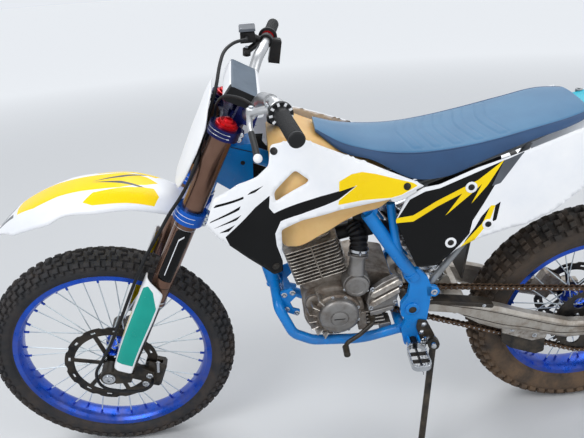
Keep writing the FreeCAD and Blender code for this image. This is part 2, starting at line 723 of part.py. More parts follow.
def front_plate():
    """The bare number plate ahead of the fork, carried on pads against the two tubes."""
    thin = mm("plastic")
    n = mm("fork_offset")
    half_spacing = mm("fork_half_spacing")
    # station up the axis: half width, middle reach, edge reach
    rows = ((958, 76, 78, 66), (1050, 108, 80, 62), (1130, 112, 80, 62), (1180, 92, 80, 68), (1208, 62, 78, 72))

    def place(s, y, forward):
        return steer(s, forward, y)

    sections = []
    for s, half, middle, edge in rows:
        front = [(-half, edge), (-0.6 * half, middle), (0.6 * half, middle), (half, edge)]
        back = [(y * (1 - thin / half), forward - thin) for y, forward in reversed(front)]
        sections.append((s, front + back))
    shield = skin(sections, place)
    pads = []
    for side in (-1, 1):
        start, end = sorted((side * (half_spacing - 30), side * (half_spacing - 14)))
        ring = [steer(1040, n, start), steer(1070, n, start), steer(1070, 67, start), steer(1040, 67, start)]
        pad = prism(ring, Vector(0, end - start, 0))
        pads.append(pad.cut(rod(steer(1000, n, side * half_spacing), steer(1120, n, side * half_spacing),
                                mm("outer_tube_radius") + fit)))
    keep_shape(joined([shield] + pads), "front_plate")


def caliper(end, s_angle, side):
    """A brake caliper that straddles its disc, with the running gap on both faces."""
    radius = mm(end + "_disc_radius")
    y = mm(end + "_disc_y")
    thick = mm("disc_thickness")
    angle = math.radians(s_angle)
    centre = AXLE[end] + Vector((radius - 14) * math.cos(angle), y, (radius - 14) * math.sin(angle))
    block = Part.makeBox(58, 44, 84, Vector(-26, -17 if side < 0 else -27, -42))
    block = block.makeChamfer(7, block.Edges)
    slot = Part.makeBox(54 + gap, thick + 2 * gap, 120, Vector(-40, -thick / 2 - gap, -60))
    block = block.cut(slot)
    block.rotate(Vector(0, 0, 0), Vector(0, 1, 0), -s_angle)
    block.translate(centre)
    return block, centre


# distance up the steering axis, ahead of it and to the right
BRAKE_HOSE = ((1290, 16, 206), (1290, 16, 182), (1283, 46, 146), (1266, 68, 98), (1243, 70, 44), (1214, 65, -10),
              (1176, 63, -46), (1130, 60, -62), (1098, 58, -78), (1062, 53.5, -112), (1010, 55.5, -123), (962, 60, -121),
              (912, 70, -118), (856, 75, -115), (795, 82, -110), (730, 86, -107), (665, 87, -106), (600, 86, -106),
              (535, 85, -107), (470, 86, -109), (410, 92, -112), (352, 99, -113), (308, 66, -112), (312, 12, -110),
              (330, -42, -110))
CLUTCH_CABLE = ((1257.7, -3.8, -194), (1257.7, -3.8, -174), (1254, 24, -148), (1236, 56, -120), (1200, 60, -88),
                (1162, 48, -54), (1120, 47, -24), (1076, 46, 6), (1030, 44, 34), (988, 36, 54), (960, 30, 62),
                (938, 30, 62))


def cord(points, radius, label):
    """A tube of straight runs and tangent arcs, each arc as large as its two runs allow."""
    bends = []
    for k in range(1, len(points) - 1):
        back, ahead = points[k - 1] - points[k], points[k + 1] - points[k]
        half_turn = (math.pi - back.getAngle(ahead)) / 2
        bends.append(0.45 * min(back.Length, ahead.Length) / math.tan(half_turn))
    print(label, "least bend", round(min(bends)), "length", round(route(points, bends).Length))
    keep_shape(tube(points, bends, radius), label)


def cords():
    """The brake hose from the master cylinder to the caliper, and the clutch cable behind the plate."""
    hose = [steer(*place) for place in BRAKE_HOSE]
    hose += [Vector(108, -114, 296), Vector(108, -90, 296)]
    cord(hose, mm("hose_radius"), "brake_hose")
    cord([steer(*place) for place in CLUTCH_CABLE], mm("cable_radius"), "clutch_cable")


def front_caliper(left_leg):
    block, centre = caliper("front", -22, -1)
    n = mm("fork_offset")
    s_axle = (AXLE["front"] - steer_foot).dot(steer_up)
    foot = steer(s_axle + 40, n - 22, -90)
    top = steer(s_axle - 10, n - 22, -90)
    ring = [foot, top, Vector(centre.x + 4, -90, centre.z - 22), Vector(centre.x + 8, -90, centre.z + 20)]
    hanger = prism(ring, Vector(0, 12, 0))
    sweep = along_y(AXLE["front"].x, AXLE["front"].z, mm("front_disc_radius") + gap,
                    mm("front_disc_y") - 1.5 - gap, mm("front_disc_y") + 1.5 + gap)
    keep_shape(block.fuse(hanger.cut(sweep)).cut(left_leg), "front_caliper")


def rear_caliper():
    block, centre = caliper("rear", 150, 1)
    face = arm_inner - fit
    ring = [Vector(centre.x - 4, face, centre.z - 6), Vector(centre.x + 34, face, centre.z - 10),
            Vector(AXLE["rear"].x - 40, face, AXLE["rear"].z + 28), Vector(AXLE["rear"].x - 74, face, AXLE["rear"].z + 36)]
    hanger = prism(ring, Vector(0, -6, 0))
    keep_shape(block.fuse(hanger), "rear_caliper")


# Frame

def frame():
    half = frame_half_width
    cradle = mm("cradle_half_width")
    thick = mm("plate_thickness")
    pieces = [rod(steer(head_foot, 0), steer(head_top, 0), mm("head_tube_radius"))]
    backbone_end = Vector(724, 0, 796)
    pieces.append(rod(steer(head_top - 60, 0), backbone_end, mm("backbone_radius")))
    down_end = Vector(474, 0, 530)
    pieces.append(rod(Vector(410, 0, 858), down_end, mm("downtube_radius")))
    # sheet box that ties the backbone to the downtube behind the head
    box = [Vector(352, -33, 876), Vector(384, -33, 962), Vector(452, -33, 968), Vector(446, -33, 862),
           Vector(400, -33, 838)]
    pieces.append(prism(box, Vector(0, 66, 0)))
    pieces.append(rod(backbone_end - Vector(0, half - 6, 0), backbone_end + Vector(0, half - 6, 0),
                      mm("side_tube_radius")))
    pieces.append(rod(Vector(808, 4 - half, 420), Vector(808, half - 4, 420), mm("cradle_radius")))
    for side in (-1, 1):
        def at(x, y, z):
            return Vector(x, side * y, z)
        pieces.append(tube([at(716, half - 12, 790), at(776, half, 690), at(838, half, 590)], 120,
                           mm("side_tube_radius")))
        pieces.append(tube([at(776, half - 22, 806), at(786, half, 710), at(800, half, 650)], 60, 11))
        pieces.append(tube([at(474, 6, 538), at(480, cradle * 0.8, 500), at(514, cradle, 424), at(566, cradle, 394),
                            at(700, cradle, 382), at(806, cradle + 6, 412)], [30, 40, 60, 200],
                           mm("cradle_radius")))
        start = side * half - (thick / 2)
        # pivot plate: corner X, corner Z, corner radius
        outline = ((806, 602, 6), (846, 622, 10), (872, 590, 12), (884, 556, 14), (880, 496, 20), (872, 420, 12),
                   (862, 372, 8), (816, 366, 8), (806, 424, 8), (817, 456, 8), (804, 474, 9), (803, 508, 9),
                   (821, 536, 12), (826, 572, 12))
        ring = [Vector(x, start, z) for x, z, radius in outline]
        pieces.append(plate(ring, [radius for x, z, radius in outline], Vector(0, thick, 0)))
        mount = [(488, 536), (520, 548), (532, 520), (512, 500), (520, 478), (540, 470), (530, 452), (496, 470)]
        ring = [Vector(x, side * 58 - 3, z) for x, z in mount]
        pieces.append(plate(ring, 5, Vector(0, 6, 0)))
    pieces.append(rod(Vector(492, -60, 505), Vector(492, 60, 505), 8))
    shape = joined(pieces)
    shape = shape.cut(rod(steer(head_foot - 20, 0), steer(head_top + 20, 0), mm("head_bore_radius")))
    shape = shape.cut(along_y(mm("pivot_x"), mm("pivot_z"), mm("pivot_bolt_radius"), -200, 200))
    keep_shape(shape.fuse(stand_bracket()), "frame")
    return shape


# seat rail from the side: X, Z
RAIL = ((724, 796), (900, 852), (1150, 938), (1384, 992))


def rail_height(x):
    for (x0, z0), (x1, z1) in zip(RAIL, RAIL[1:]):
        if x <= x1:
            return z0 + (x - x0) * (z1 - z0) / (x1 - x0)


def seat_rail(side, radius):
    half = mm("rail_half_width")
    line = [Vector(x, side * (half - 8 if x == RAIL[-1][0] else half), z) for x, z in RAIL]
    return tube(line, [300, 300], radius)


def subframe(main_frame):
    """Seat rails and rear struts, with four tapped holes for a rack."""
    half = mm("rail_half_width")
    radius = mm("rail_radius")
    outer = frame_half_width
    pieces = []
    bosses = []
    holes = []
    for side in (-1, 1):
        def at(x, y, z):
            return Vector(x, side * y, z)
        pieces.append(seat_rail(side, radius))
        foot = outer - mm("plate_thickness") / 2 - 9 - fit
        pieces.append(tube([at(886, foot, 556), at(1000, half + 18, 700), at(1120, half + 4, 926)], 200, 9))
        for x, z in ((1286, 969), (1366, 987)):
            top = z + 31
            boss = Part.makeCylinder(9, 31, at(x, half - 12, z), Vector(0, 0, 1))
            hole = Part.makeCylinder(mm("rack_hole_radius"), mm("rack_hole_depth") + 1,
                                     at(x, half - 12, top - mm("rack_hole_depth")), Vector(0, 0, 1))
            bosses.append(boss)
            holes.append(hole)
    for x, z in ((1060, 907), (1330, 980)):
        pieces.append(rod(Vector(x, -half, z), Vector(x, half, z), 8))
    shape = joined(pieces + bosses).cut(holes + [main_frame])
    keep_shape(shape, "subframe")
    return bosses


def swingarm():
    """Two tapering arms from the pivot to the rear axle, with a cross member ahead of the tyre."""
    inner = arm_inner
    outer = arm_outer
    x0, z0 = mm("pivot_x"), mm("pivot_z")
    x1, z1 = AXLE["rear"].x, AXLE["rear"].z
    boss = mm("pivot_boss_radius")
    # station along X: low edge, high edge
    rows = ((x0, z0 - boss, z0 + boss), (966, 444, 480), (1028, 400, 468), (1086, 374, 450), (1160, 356, 420),
            (1290, z1 - 24, z1 + 34), (x1 + 34, z1 - 22, z1 + 24))
    pieces = []
    for side in (-1, 1):
        def place(x, y, z):
            return Vector(x, side * y, z)
        sections = []
        for x, low, high in rows:
            chamfer = 0.16 * (high - low)
            edge = [(inner, low + chamfer), (inner + 6, low), (outer - 6, low), (outer, low + chamfer),
                    (outer, high - chamfer), (outer - 6, high), (inner + 6, high), (inner, high - chamfer)]
            sections.append((x, edge))
        pieces.append(skin(sections, place))
        start, end = sorted((side * (inner - 22), side * (frame_half_width - mm("plate_thickness") / 2 - fit)))
        pieces.append(along_y(x0, z0, boss, start, end))
    cross = [Vector(930, -inner, 452), Vector(936, -inner, 480), Vector(996, -inner, 468), Vector(998, -inner, 430),
             Vector(966, -inner, 420)]
    pieces.append(plate(cross, 6, Vector(0, 2 * inner, 0)))
    for side in (-1, 1):
        ear = plate([Vector(916, side * 20 - 4, 470), Vector(956, side * 20 - 4, 520), Vector(976, side * 20 - 4, 470),
                     Vector(960, side * 20 - 4, 440)], 8, Vector(0, 8, 0))
        pieces.append(ear)
    shape = joined(pieces)
    shape = shape.cut(along_y(x0, z0, mm("pivot_bolt_radius"), -200, 200))
    shape = shape.cut(along_y(x1, z1, mm("axle_radius"), -200, 200))
    bolt = along_y(x0, z0, mm("pivot_bolt_radius"), -frame_half_width - 12, frame_half_width + 12)
    keep_shape(shape.fuse(bolt), "swingarm")
    return shape


def shock():
    foot, top = Vector(946, 0, 492), Vector(764, 0, 772)
    run = (top - foot).normalize()
    length = (top - foot).Length
    profile = [(0, 0), (0, 14), (34, 14), (34, 20)]
    coils = 9
    start, end = 44.0, length - 70
    for k in range(coils):
        base = start + (end - start) * k / coils
        step = (end - start) / coils
        profile += [(base, 26), (base + 0.2 * step, 33), (base + 0.6 * step, 33), (base + 0.8 * step, 26)]
    profile += [(length - 66, 22), (length - 30, 22), (length - 30, 14), (length, 14), (length, 0)]
    ring = [Vector(out, 0, along) for along, out in profile]
    shape = Part.Face(Part.makePolygon(ring + [ring[0]])).revolve(Vector(0, 0, 0), Vector(0, 0, 1), 360)
    shape.Placement = Placement(foot, Rotation(Vector(0, 0, 1), run))
    shape = joined([shape, along_y(foot.x, foot.z, 9, -16 + fit, 16 - fit), along_y(top.x, top.z, 9, -60, 60)])
    keep_shape(shape, "shock")


# Engine

CASE = ((560, 430), (560, 560), (700, 590), (790, 566), (798, 470), (776, 420), (640, 400))
CASE_LEFT, CASE_RIGHT = -57, 92


def engine():
    """Crankcase with the ribbed crank cover on the left and the clutch cover on the right."""
    x, z = mm("crank_x"), mm("crank_z")
    radius = mm("cover_radius")
    case = prism([Vector(px, CASE_LEFT, pz) for px, pz in CASE], Vector(0, CASE_RIGHT - CASE_LEFT, 0))
    pieces = [
        along_y(x, z, 84, -84, 84), along_y(x, z, radius + 6, -112, -84), along_y(x + 58, z + 6, radius + 6, -56, 84), case,
        along_y(x, z, radius, -146, -112), along_y(x, z, 24, -151, -146),
        along_y(x + 70, z + 8, 74, 84, 130), along_y(x, z, 44, 84, 122),
    ]
    for k in range(6):
        rib = Part.makeBox(26, 18, 5, Vector(58, -134, -2.5))
        rib.rotate(Vector(0, 0, 0), Vector(0, 1, 0), -(130 + 22 * k))
        rib.translate(Vector(x, 0, z))
        pieces.append(rib)
    for k in range(3):
        pieces.append(Part.makeBox(56, 32, 4, Vector(700, -88, 418 + 12 * k)))
    pieces.append(Part.makeBox(16, 34, 50, Vector(698, -88, 412)))
    shape = joined(pieces)
    keep_shape(shape, "crankcase")
    return shape


def cylinder(case):
    """Finned barrel and head, leaning forward from the crank."""
    tilt = mm("cylinder_tilt")
    size = mm("fin_size")
    thin = mm("fin_thickness")
    count = int(mm("fin_count"))
    pitch = mm("fin_pitch")
    half = size / 2
    corner = 16
    first = 108
    pieces = [Part.makeCylinder(mm("barrel_radius"), first + count * pitch - 90, Vector(0, 0, 90))]
    for k in range(count):
        ring = [Vector(sx * (half - (corner if flip else 0)), sy * (half - (0 if flip else corner)), first + k * pitch)
                for sx, sy, flip in ((1, -1, 1), (1, -1, 0), (1, 1, 0), (1, 1, 1),
                                     (-1, 1, 1), (-1, 1, 0), (-1, -1, 0), (-1, -1, 1))]
        pieces.append(prism(ring, Vector(0, 0, thin)))
    top = first + count * pitch
    pieces.append(Part.makeBox(104, 96, 34, Vector(-50, -48, top - 4)))
    for k in range(3):
        pieces.append(Part.makeBox(116, 110, 3, Vector(-56, -55, top + 2 + 9 * k)))
    shape = joined(pieces)
    shape.Placement = Placement(Vector(mm("crank_x"), 0, mm("crank_z")), Rotation(Vector(0, 1, 0), -tilt))
    shape = shape.cut(case)
    keep_shape(shape, "cylinder")
    return shape


def starter(case):
    """Electric starter case behind the cylinder, with its round cover and neck."""
    pieces = [along_y(691, 562, 37, -92, -61), along_y(691, 562, 33, -104, -92),
              rod(Vector(693, -76, 592), Vector(700, -66, 640), 21),
              rod(Vector(700, -66, 640), Vector(700, -66, 648), 27)]
    keep_shape(joined(pieces).cut(case), "starter")


def sprocket_cover(case):
    """The ribbed arm-shaped cover over the output sprocket, outside the chain."""
    y0 = chain_y - mm("chain_inner_width") / 2 - mm("chain_plate") - gap
    outline = [Vector(722, y0, 500), Vector(728, y0, 540), Vector(798, y0, 580), Vector(812, y0, 566),
               Vector(800, y0, 540), Vector(790, y0, 470), Vector(740, y0, 462)]
    body = plate(outline, 8, Vector(0, -24, 0))
    ribs = [prism([Vector(726, y0 - 22, 524), Vector(728, y0 - 22, 534), Vector(800, y0 - 22, 576),
                   Vector(808, y0 - 22, 566)], Vector(0, -8, 0)),
            prism([Vector(724, y0 - 22, 500), Vector(726, y0 - 22, 510), Vector(798, y0 - 22, 548),
                   Vector(798, y0 - 22, 536)], Vector(0, -8, 0))]
    sprocket = toothed_wheel(mm("front_teeth"), mm("sprocket_thickness"), 8)
    sprocket.translate(Vector(mm("output_x"), chain_y, mm("output_z")))
    pin = along_y(mm("output_x"), mm("output_z"), 9, y0 - 4, CASE_LEFT)
    keep_shape(joined([body, sprocket, pin] + ribs).cut(case), "sprocket_cover")


def carburettor(head, box):
    """Carburettor behind the head; its rubber boot bends left round the shock to the airbox."""
    boot = tube([Vector(738, -10, 694), Vector(790, -62, 704), Vector(850, -62, 722), Vector(900, -36, 738)],
                [40, 60], 21)
    pieces = [rod(Vector(630, 0, 668), Vector(694, -2, 682), 20), rod(Vector(690, -2, 681), Vector(742, -12, 695), 27),
              rod(Vector(716, -6, 650), Vector(716, -6, 722), 21), boot]
    keep_shape(joined(pieces).cut([head, box]), "carburettor")


def exhaust(head):
    """Header from the front of the head down round the right side, and the muffler under the panel."""
    points = [Vector(520, 26, 668), Vector(482, 60, 644), Vector(456, 104, 572), Vector(530, 140, 556),
              Vector(700, 162, 600), Vector(860, 160, 640), Vector(985, 150, 690)]
    pipe = tube(points, [26, 30, 50, 100, 100], 17).cut(head)
    keep_shape(pipe, "header_pipe")
    radius = mm("muffler_radius")
    run = Vector(400, 4, 112)
    start = Vector(985, 150, 690)
    unit = Vector(run).normalize()
    profile = [(fit, 0), (fit, 18), (40, 24), (70, radius), (run.Length - 60, radius), (run.Length - 20, radius - 14),
               (run.Length, 20), (run.Length, 13), (run.Length - 60, 13), (run.Length - 60, 0)]
    ring = [Vector(out, 0, along) for along, out in profile]
    shape = Part.Face(Part.makePolygon(ring + [ring[0]])).revolve(Vector(0, 0, 0), Vector(0, 0, 1), 360)
    shape.Placement = Placement(start, Rotation(Vector(0, 0, 1), unit))
    keep_shape(shape.cut(pipe), "muffler")


# Tank, seat and plastics

def tank():
    """Saddle tank over the backbone, wide and low at the front, with its filler neck."""
    # station X: top height, top half width, middle half width and height, low half width and height, tunnel top
    rows = (
        (488, 990, 58, 116, 926, 138, 800, 946), (524, 1004, 78, 138, 915, 166, 752, 929),
        (600, 984, 72, 138, 900, 158, 758, 892), (680, 944, 62, 122, 884, 132, 806, 852),
        (752, 904, 50, 96, 872, 100, 836, 842),
    )
    tunnel = 46

    def place(x, y, z):
        return Vector(x, y, z)

    sections = []
    for x, top, top_half, middle_half, middle, low_half, low, roof in rows:
        half = [(top_half, top - 6), (middle_half, middle), (low_half, 0.45 * middle + 0.55 * low),
                (low_half - 4, low), (tunnel, low), (tunnel, roof)]
        outline = half + [(-y, z) for y, z in reversed(half)]
        sections.append((x, outline))
    body = skin(sections, place)
    neck = Part.makeCylinder(26, 22, Vector(524, 0, 988), Vector(-0.08, 0, 1))
    bosses = [along_y(506, 940, 9, -200, 200), along_y(520, 800, 9, -210, 210)]
    pad_reach = mm("backbone_radius") + fit
    pads = [along_y(x, z, 10, min(side * pad_reach, side * (tunnel + 8)), max(side * pad_reach, side * (tunnel + 8)))
            for x, z in ((540, 882), (690, 812)) for side in (-1, 1)]
    return body.cut(along_y(506, 940, 14, -tunnel, tunnel)).fuse([neck] + bosses + pads)


# shroud surface, station X: four pairs of height and distance from the middle
SHROUD_ROWS = (
    (330, (960, 196), (930, 215), (850, 240), (690, 226)),
    (420, (1006, 140), (945, 196), (820, 226), (690, 214)),
    (500, (1010, 106), (945, 148), (850, 186), (690, 196)),
    (620, (1006, 92), (930, 142), (850, 176), (690, 180)),
    (740, (960, 104), (900, 140), (850, 156), (690, 160)),
    (865, (935, 104), (880, 128), (850, 140), (690, 146)),
)
SHROUD_EDGE = ((494, 998), (486, 961), (458, 949), (415, 948), (358, 927), (337, 873), (357, 842), (396, 799),
               (476, 699), (498, 703), (502, 816), (553, 832), (640, 845), (781, 849), (849, 867), (819, 885),
               (721, 933), (610, 982), (568, 1000))
SHROUD_WINDOW = ((545, 941), (575, 918), (566, 911), (494, 884), (492, 905))


def curved_panel(rows, outline, radius, thickness, window=None):
    """A thin panel cut to an outline from a curved surface, for the left side."""
    def place(x, z, out):
        return Vector(x, -out, z)

    def band(inner, outer):
        sections = []
        for row in rows:
            x, pairs = row[0], row[1:]
            outside = [(z, out + outer) for z, out in pairs]
            inside = [(z, out - inner) for z, out in reversed(pairs)]
            sections.append((x, outside + inside))
        return skin(sections, place)

    sheet_solid = band(thickness, 0)
    beyond = band(thickness, 300)
    ring = [Vector(x, -500, z) for x, z in outline]
    cutter = plate(ring, radius, Vector(0, 500, 0))
    if window:
        hole = plate([Vector(x, -500, z) for x, z in window], 6, Vector(0, 500, 0))
        cutter = cutter.cut(hole)
    return sheet_solid.common(cutter), beyond


def plastics():
    shroud, beyond = curved_panel(SHROUD_ROWS, SHROUD_EDGE, 4, mm("plastic"), SHROUD_WINDOW)
    shape = tank().cut([beyond, mirrored(beyond)])
    keep_shape(shape, "fuel_tank")
    keep_shape(Part.makeCylinder(31, 16, Vector(522.2, 0, 1010.4), Vector(-0.08, 0, 1)), "fuel_cap")
    keep_shape(shroud, "shroud_left")
    keep_shape(mirrored(shroud), "shroud_right")
    side_rows = (
        (770, (900, 128), (760, 142), (600, 150)), (860, (925, 128), (760, 148), (600, 158)),
        (960, (960, 128), (780, 150), (600, 162)), (1100, (990, 130), (820, 158), (600, 166)),
        (1300, (1030, 128), (880, 150), (600, 160)),
    )
    front_and_top = [(780, 779), (806, 838), (846, 862), (885, 867), (972, 902), (1080, 936), (1204, 978), (1262, 985)]
    left_low = [(1233, 838), (1160, 780), (1092, 749), (1060, 743), (979, 716), (930, 690), (884, 648), (834, 646)]
    right_low = [(1236, 880), (1160, 828), (1092, 808), (1010, 780), (930, 750), (840, 704)]
    left, left_beyond = curved_panel(side_rows, front_and_top + left_low, 5, mm("plastic"))
    right, right_beyond = curved_panel(side_rows, front_and_top + right_low, 5, mm("plastic"))
    keep_shape(left, "side_panel_left")
    keep_shape(mirrored(right), "side_panel_right")
    box_rows = ((880, 700, 54, 832), (960, 690, 55, 858), (1060, 720, 55, 884))
    box = skin([(x, [(-half, low), (half, low), (half, high), (-half, high)]) for x, low, half, high in box_rows],
               lambda x, y, z: Vector(x, y, z))
    studs = [along_y(940, 800, 9, -200, 200), along_y(1004, 800, 9, -200, 200)]
    flap = prism([Vector(1000, -54, 716), Vector(1012, -54, 716), Vector(990, -54, 520), Vector(986, -54, 520)],
                 Vector(0, 108, 0))
    box = box.fuse(studs + [flap]).cut([left_beyond, mirrored(left_beyond)])
    keep_shape(box, "airbox")
    return box


def seat():
    """The saddle's plain closed form: narrow tongue at the tank, wide and flat at the back."""
    # station X: low height, low half width, edge height, edge half width, crown height
    rows = (
        (604, 986, 40, 994, 40, 998), (660, 948, 78, 966, 66, 978), (728, 930, 100, 948, 84, 958),
        (830, 880, 122, 938, 100, 952), (900, 880, 124, 942, 106, 952), (1000, 918, 124, 956, 110, 964),
        (1100, 954, 122, 976, 108, 984), (1204, 984, 116, 996, 100, 1004), (1252, 992, 92, 1000, 80, 1006),
    )
    sections = []
    for x, low, low_half, edge, edge_half, crown in rows:
        half = [(low_half, low), (edge_half, edge), (0.6 * edge_half, crown)]
        sections.append((x, half + [(-y, z) for y, z in reversed(half)]))
    return skin(sections, lambda x, y, z: Vector(x, y, z))


def rear_fender():
    """A channel from under the seat to the tail, open below."""
    thin = mm("plastic")
    # station X: half width, crown height, edge height
    rows = ((1120, 86, 946, 900), (1204, 90, 978, 920), (1262, 92, 992, 930), (1400, 92, 1012, 966),
            (1540, 88, 1030, 996), (1640, 70, 1030, 1008))
    sections = []
    for x, half, crown, edge in rows:
        upper = [(-half, edge), (-half + 2, crown - 10), (-0.7 * half, crown), (0.7 * half, crown),
                 (half - 2, crown - 10), (half, edge)]
        lower = [(y * (1 - thin / half), z - thin) for y, z in reversed(upper)]
        sections.append((x, upper + lower))
    return skin(sections, lambda x, y, z: Vector(x, y, z))


def upper_bodywork(bosses):
    fender = rear_fender()
    cushion = seat()
    sockets = [Part.makeCylinder(9 + fit, 60, boss.BoundBox.Center - Vector(0, 0, 20), Vector(0, 0, 1))
               for boss in bosses]
    keep_shape(fender.cut(sockets), "rear_fender")
    half = mm("rail_half_width")
    feet = [Part.makeCylinder(mm("seat_foot_radius"), mm("seat_foot_length"), Vector(x, side * half, rail_height(x)))
            for x in (842, 1010) for side in (-1, 1)]
    rails = [seat_rail(side, mm("rail_radius") + fit) for side in (-1, 1)]
    keep_shape(joined([cushion] + feet).cut([fender] + rails), "seat")


# Pegs, levers and stand

def footpegs():
    shapes = []
    width, height = mm("peg_width"), mm("peg_height")
    for side in (-1, 1):
        base = frame_half_width + mm("plate_thickness") / 2
        x, z = mm("peg_x"), mm("peg_z")
        length = mm("peg_length")
        start = base + 26
        outline = [(x - 14, start), (x - width / 2, start + 16), (x - width / 2, start + length - 10),
                   (x - width / 2 + 10, start + length), (x + width / 2 - 10, start + length),
                   (x + width / 2, start + length - 10), (x + width / 2, start + 16), (x + 14, start)]
        ring = [Vector(px, side * py, z - height / 2) for px, py in outline]
        frame_solid = prism(ring, Vector(0, 0, height))
        wells = []
        for k in range(2):
            for row in range(2):
                low = start + 20 + 34 * k
                left = x - width / 2 + 4 + row * (width / 2 - 2)
                corner = [Vector(left, side * low, z - 20), Vector(left + width / 2 - 6, side * low, z - 20),
                          Vector(left + width / 2 - 6, side * (low + 29), z - 20), Vector(left, side * (low + 29), z - 20)]
                wells.append(prism(corner, Vector(0, 0, 40)))
        teeth = []
        for k in range(7):
            for edge in (x - width / 2, x + width / 2 - 4):
                low = start + 18 + 10 * k
                ring = [Vector(edge, side * low, z + height / 2 - 0.5), Vector(edge, side * (low + 6), z + height / 2 - 0.5),
                        Vector(edge, side * (low + 3), z + height / 2 + 5)]
                teeth.append(prism(ring, Vector(4, 0, 0)))
        bracket = [rod(Vector(x, side * (base + fit), z), Vector(x, side * (start + 4), z), 11)]
        shapes.append(joined([frame_solid.cut(wells)] + teeth + bracket))
    keep_shape(Part.makeCompound(shapes), "footpegs")


def foot_controls():
    lever = tube([Vector(730, -100, 452), Vector(730, -120, 450), Vector(690, -134, 424), Vector(652, -138, 402),
                  Vector(650, -176, 402)], [12, 30, 14], 6)
    toe = rod(Vector(650, -150, 402), Vector(650, -182, 402), 9)
    boss = rod(Vector(730, -88, 452), Vector(730, -108, 452), 10)
    gear = joined([lever, toe, boss])
    x, z = mm("peg_x"), mm("peg_z")
    y0 = frame_half_width + mm("plate_thickness") / 2 + fit
    pedal = tube([Vector(x + 2, y0 + 12, z + 40), Vector(x - 60, y0 + 20, z + 30), Vector(x - 170, y0 + 22, z + 30)],
                 60, 6)
    hinge = along_y(x + 2, z + 40, 12, y0, y0 + 18)
    pad = Part.makeBox(34, 26, 12, Vector(x - 186, y0 + 12, z + 26))
    keep_shape(gear, "gear_lever")
    keep_shape(joined([pedal, hinge, pad]), "brake_pedal")


def chain_guide(arm):
    """Plate and block under the swingarm that steer the chain's lower run."""
    inner = chain_y + mm("chain_inner_width") / 2
    outer = chain_y - mm("chain_inner_width") / 2 - mm("chain_plate") - gap
    outline = [Vector(1104, inner, 384), Vector(1140, inner, 376), Vector(1236, inner, 330), Vector(1240, inner, 254),
               Vector(1216, inner, 246), Vector(1136, inner, 280), Vector(1110, inner, 306)]
    block = plate(outline, 6, Vector(0, outer - 8 - inner, 0))
    reach = mm("chain_half_height") + gap
    outside = Part.Face(loop_outline(reach, outer)[0]).extrude(Vector(0, 60, 0))
    inside = Part.Face(loop_outline(-reach, outer)[0]).extrude(Vector(0, 60, 0))
    keep_shape(block.cut([outside.cut(inside), arm]), "chain_guide")


def side_stand():
    """Leg, pivot boss and foot, on its stop with the foot flat on the ground."""
    pivot, foot = stand_points()
    axis = stand_axis(pivot, foot)
    sole = Part.makeCylinder(mm("foot_radius"), mm("foot_thickness"), foot, ground_normal)
    ankle = foot + ground_normal * (mm("foot_thickness") - 1)
    leg = rod(ankle, pivot, mm("stand_radius"))
    boss = rod(pivot - axis * 11, pivot + axis * 11, 16)
    bore = rod(pivot - axis * 30, pivot + axis * 30, 6 + fit)
    keep_shape(joined([sole, leg, boss]).cut(bore), "side_stand")


def stand_bracket():
    """Lug and pin on the frame's left pivot plate that carry the stand."""
    pivot, foot = stand_points()
    axis = stand_axis(pivot, foot)
    anchor = Vector(mm("stand_x") - 34, -frame_half_width, mm("stand_z") + 16)
    cheek = rod(pivot - axis * 12, pivot - axis * 26, 14)
    pin = rod(pivot - axis * 19, pivot + axis * 13, 6)
    return joined([cheek, pin, rod(pivot - axis * 20, anchor, 7)])


def stand_points():
    out = mm("foot_out")
    return (Vector(mm("stand_x"), mm("stand_y"), mm("stand_z")),
            Vector(mm("foot_x"), out * math.cos(lean), -out * math.sin(lean)))


def stand_axis(pivot, foot):
    """The hinge line square to both the lowered and the folded leg."""
    lowered = (foot - pivot).normalize()
    folded = Vector(1, -0.12, 0.06).normalize()
    return lowered.cross(folded).normalize()


def build():
    for end in ("front", "rear"):
        tyre(end)
        rim(end)
        hub(end)
        disc(end)
        axle(end)
    rear_sprocket()
    chain()
    fork_tubes()
    left_leg = fork_sliders()
    fork_clamps()
    fork_guards()
    handlebar()
    bar_pad()
    controls()
    front_fender()
    front_plate()
    front_caliper(left_leg)
    cords()
    rear_caliper()
    bosses = subframe(frame())
    chain_guide(swingarm())
    shock()
    case = engine()
    head = cylinder(case)
    starter(case)
    sprocket_cover(case)
    box = plastics()
    carburettor(head, box)
    exhaust(head)
    upper_bodywork(bosses)
    footpegs()
    foot_controls()
    side_stand()
    doc.recompute()
    for obj in doc.Objects:
        if "Invalid" in obj.State or "Error" in obj.State:
            raise RuntimeError("failed: " + obj.Name)
    for obj in nodes:
        if obj.Shape.isNull() or not obj.Shape.isValid():
            raise RuntimeError("bad shape: " + obj.Label)
    low = None
    for obj in nodes:
        obj.Shape.exportStep("parts/%s.step" % obj.Label)
        box = obj.Shape.BoundBox
        low = box if low is None else low.united(box)
    print(len(nodes), "pieces; box", low)
    print("middle", (low.XMin + low.XMax) / 2, (low.YMin + low.YMax) / 2, "floor", low.ZMin)


build()
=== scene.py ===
import math

import bmesh
import bpy
import numpy as np
from mathutils import Matrix, Vector
from mathutils.geometry import delaunay_2d_cdt


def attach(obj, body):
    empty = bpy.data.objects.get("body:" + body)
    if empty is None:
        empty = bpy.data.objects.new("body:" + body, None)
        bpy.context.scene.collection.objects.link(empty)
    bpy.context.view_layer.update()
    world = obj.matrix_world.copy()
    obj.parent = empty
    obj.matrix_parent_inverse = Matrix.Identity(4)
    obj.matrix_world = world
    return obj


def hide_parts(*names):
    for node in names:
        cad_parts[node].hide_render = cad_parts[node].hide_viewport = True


# A trail motorcycle parked on its side stand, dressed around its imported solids.
# Pieces are worked out on the upright motorcycle, in millimetres: x runs rearward from the front axle,
# y to the rider's right and z up. toRow leans them onto the stand and turns them into metres.

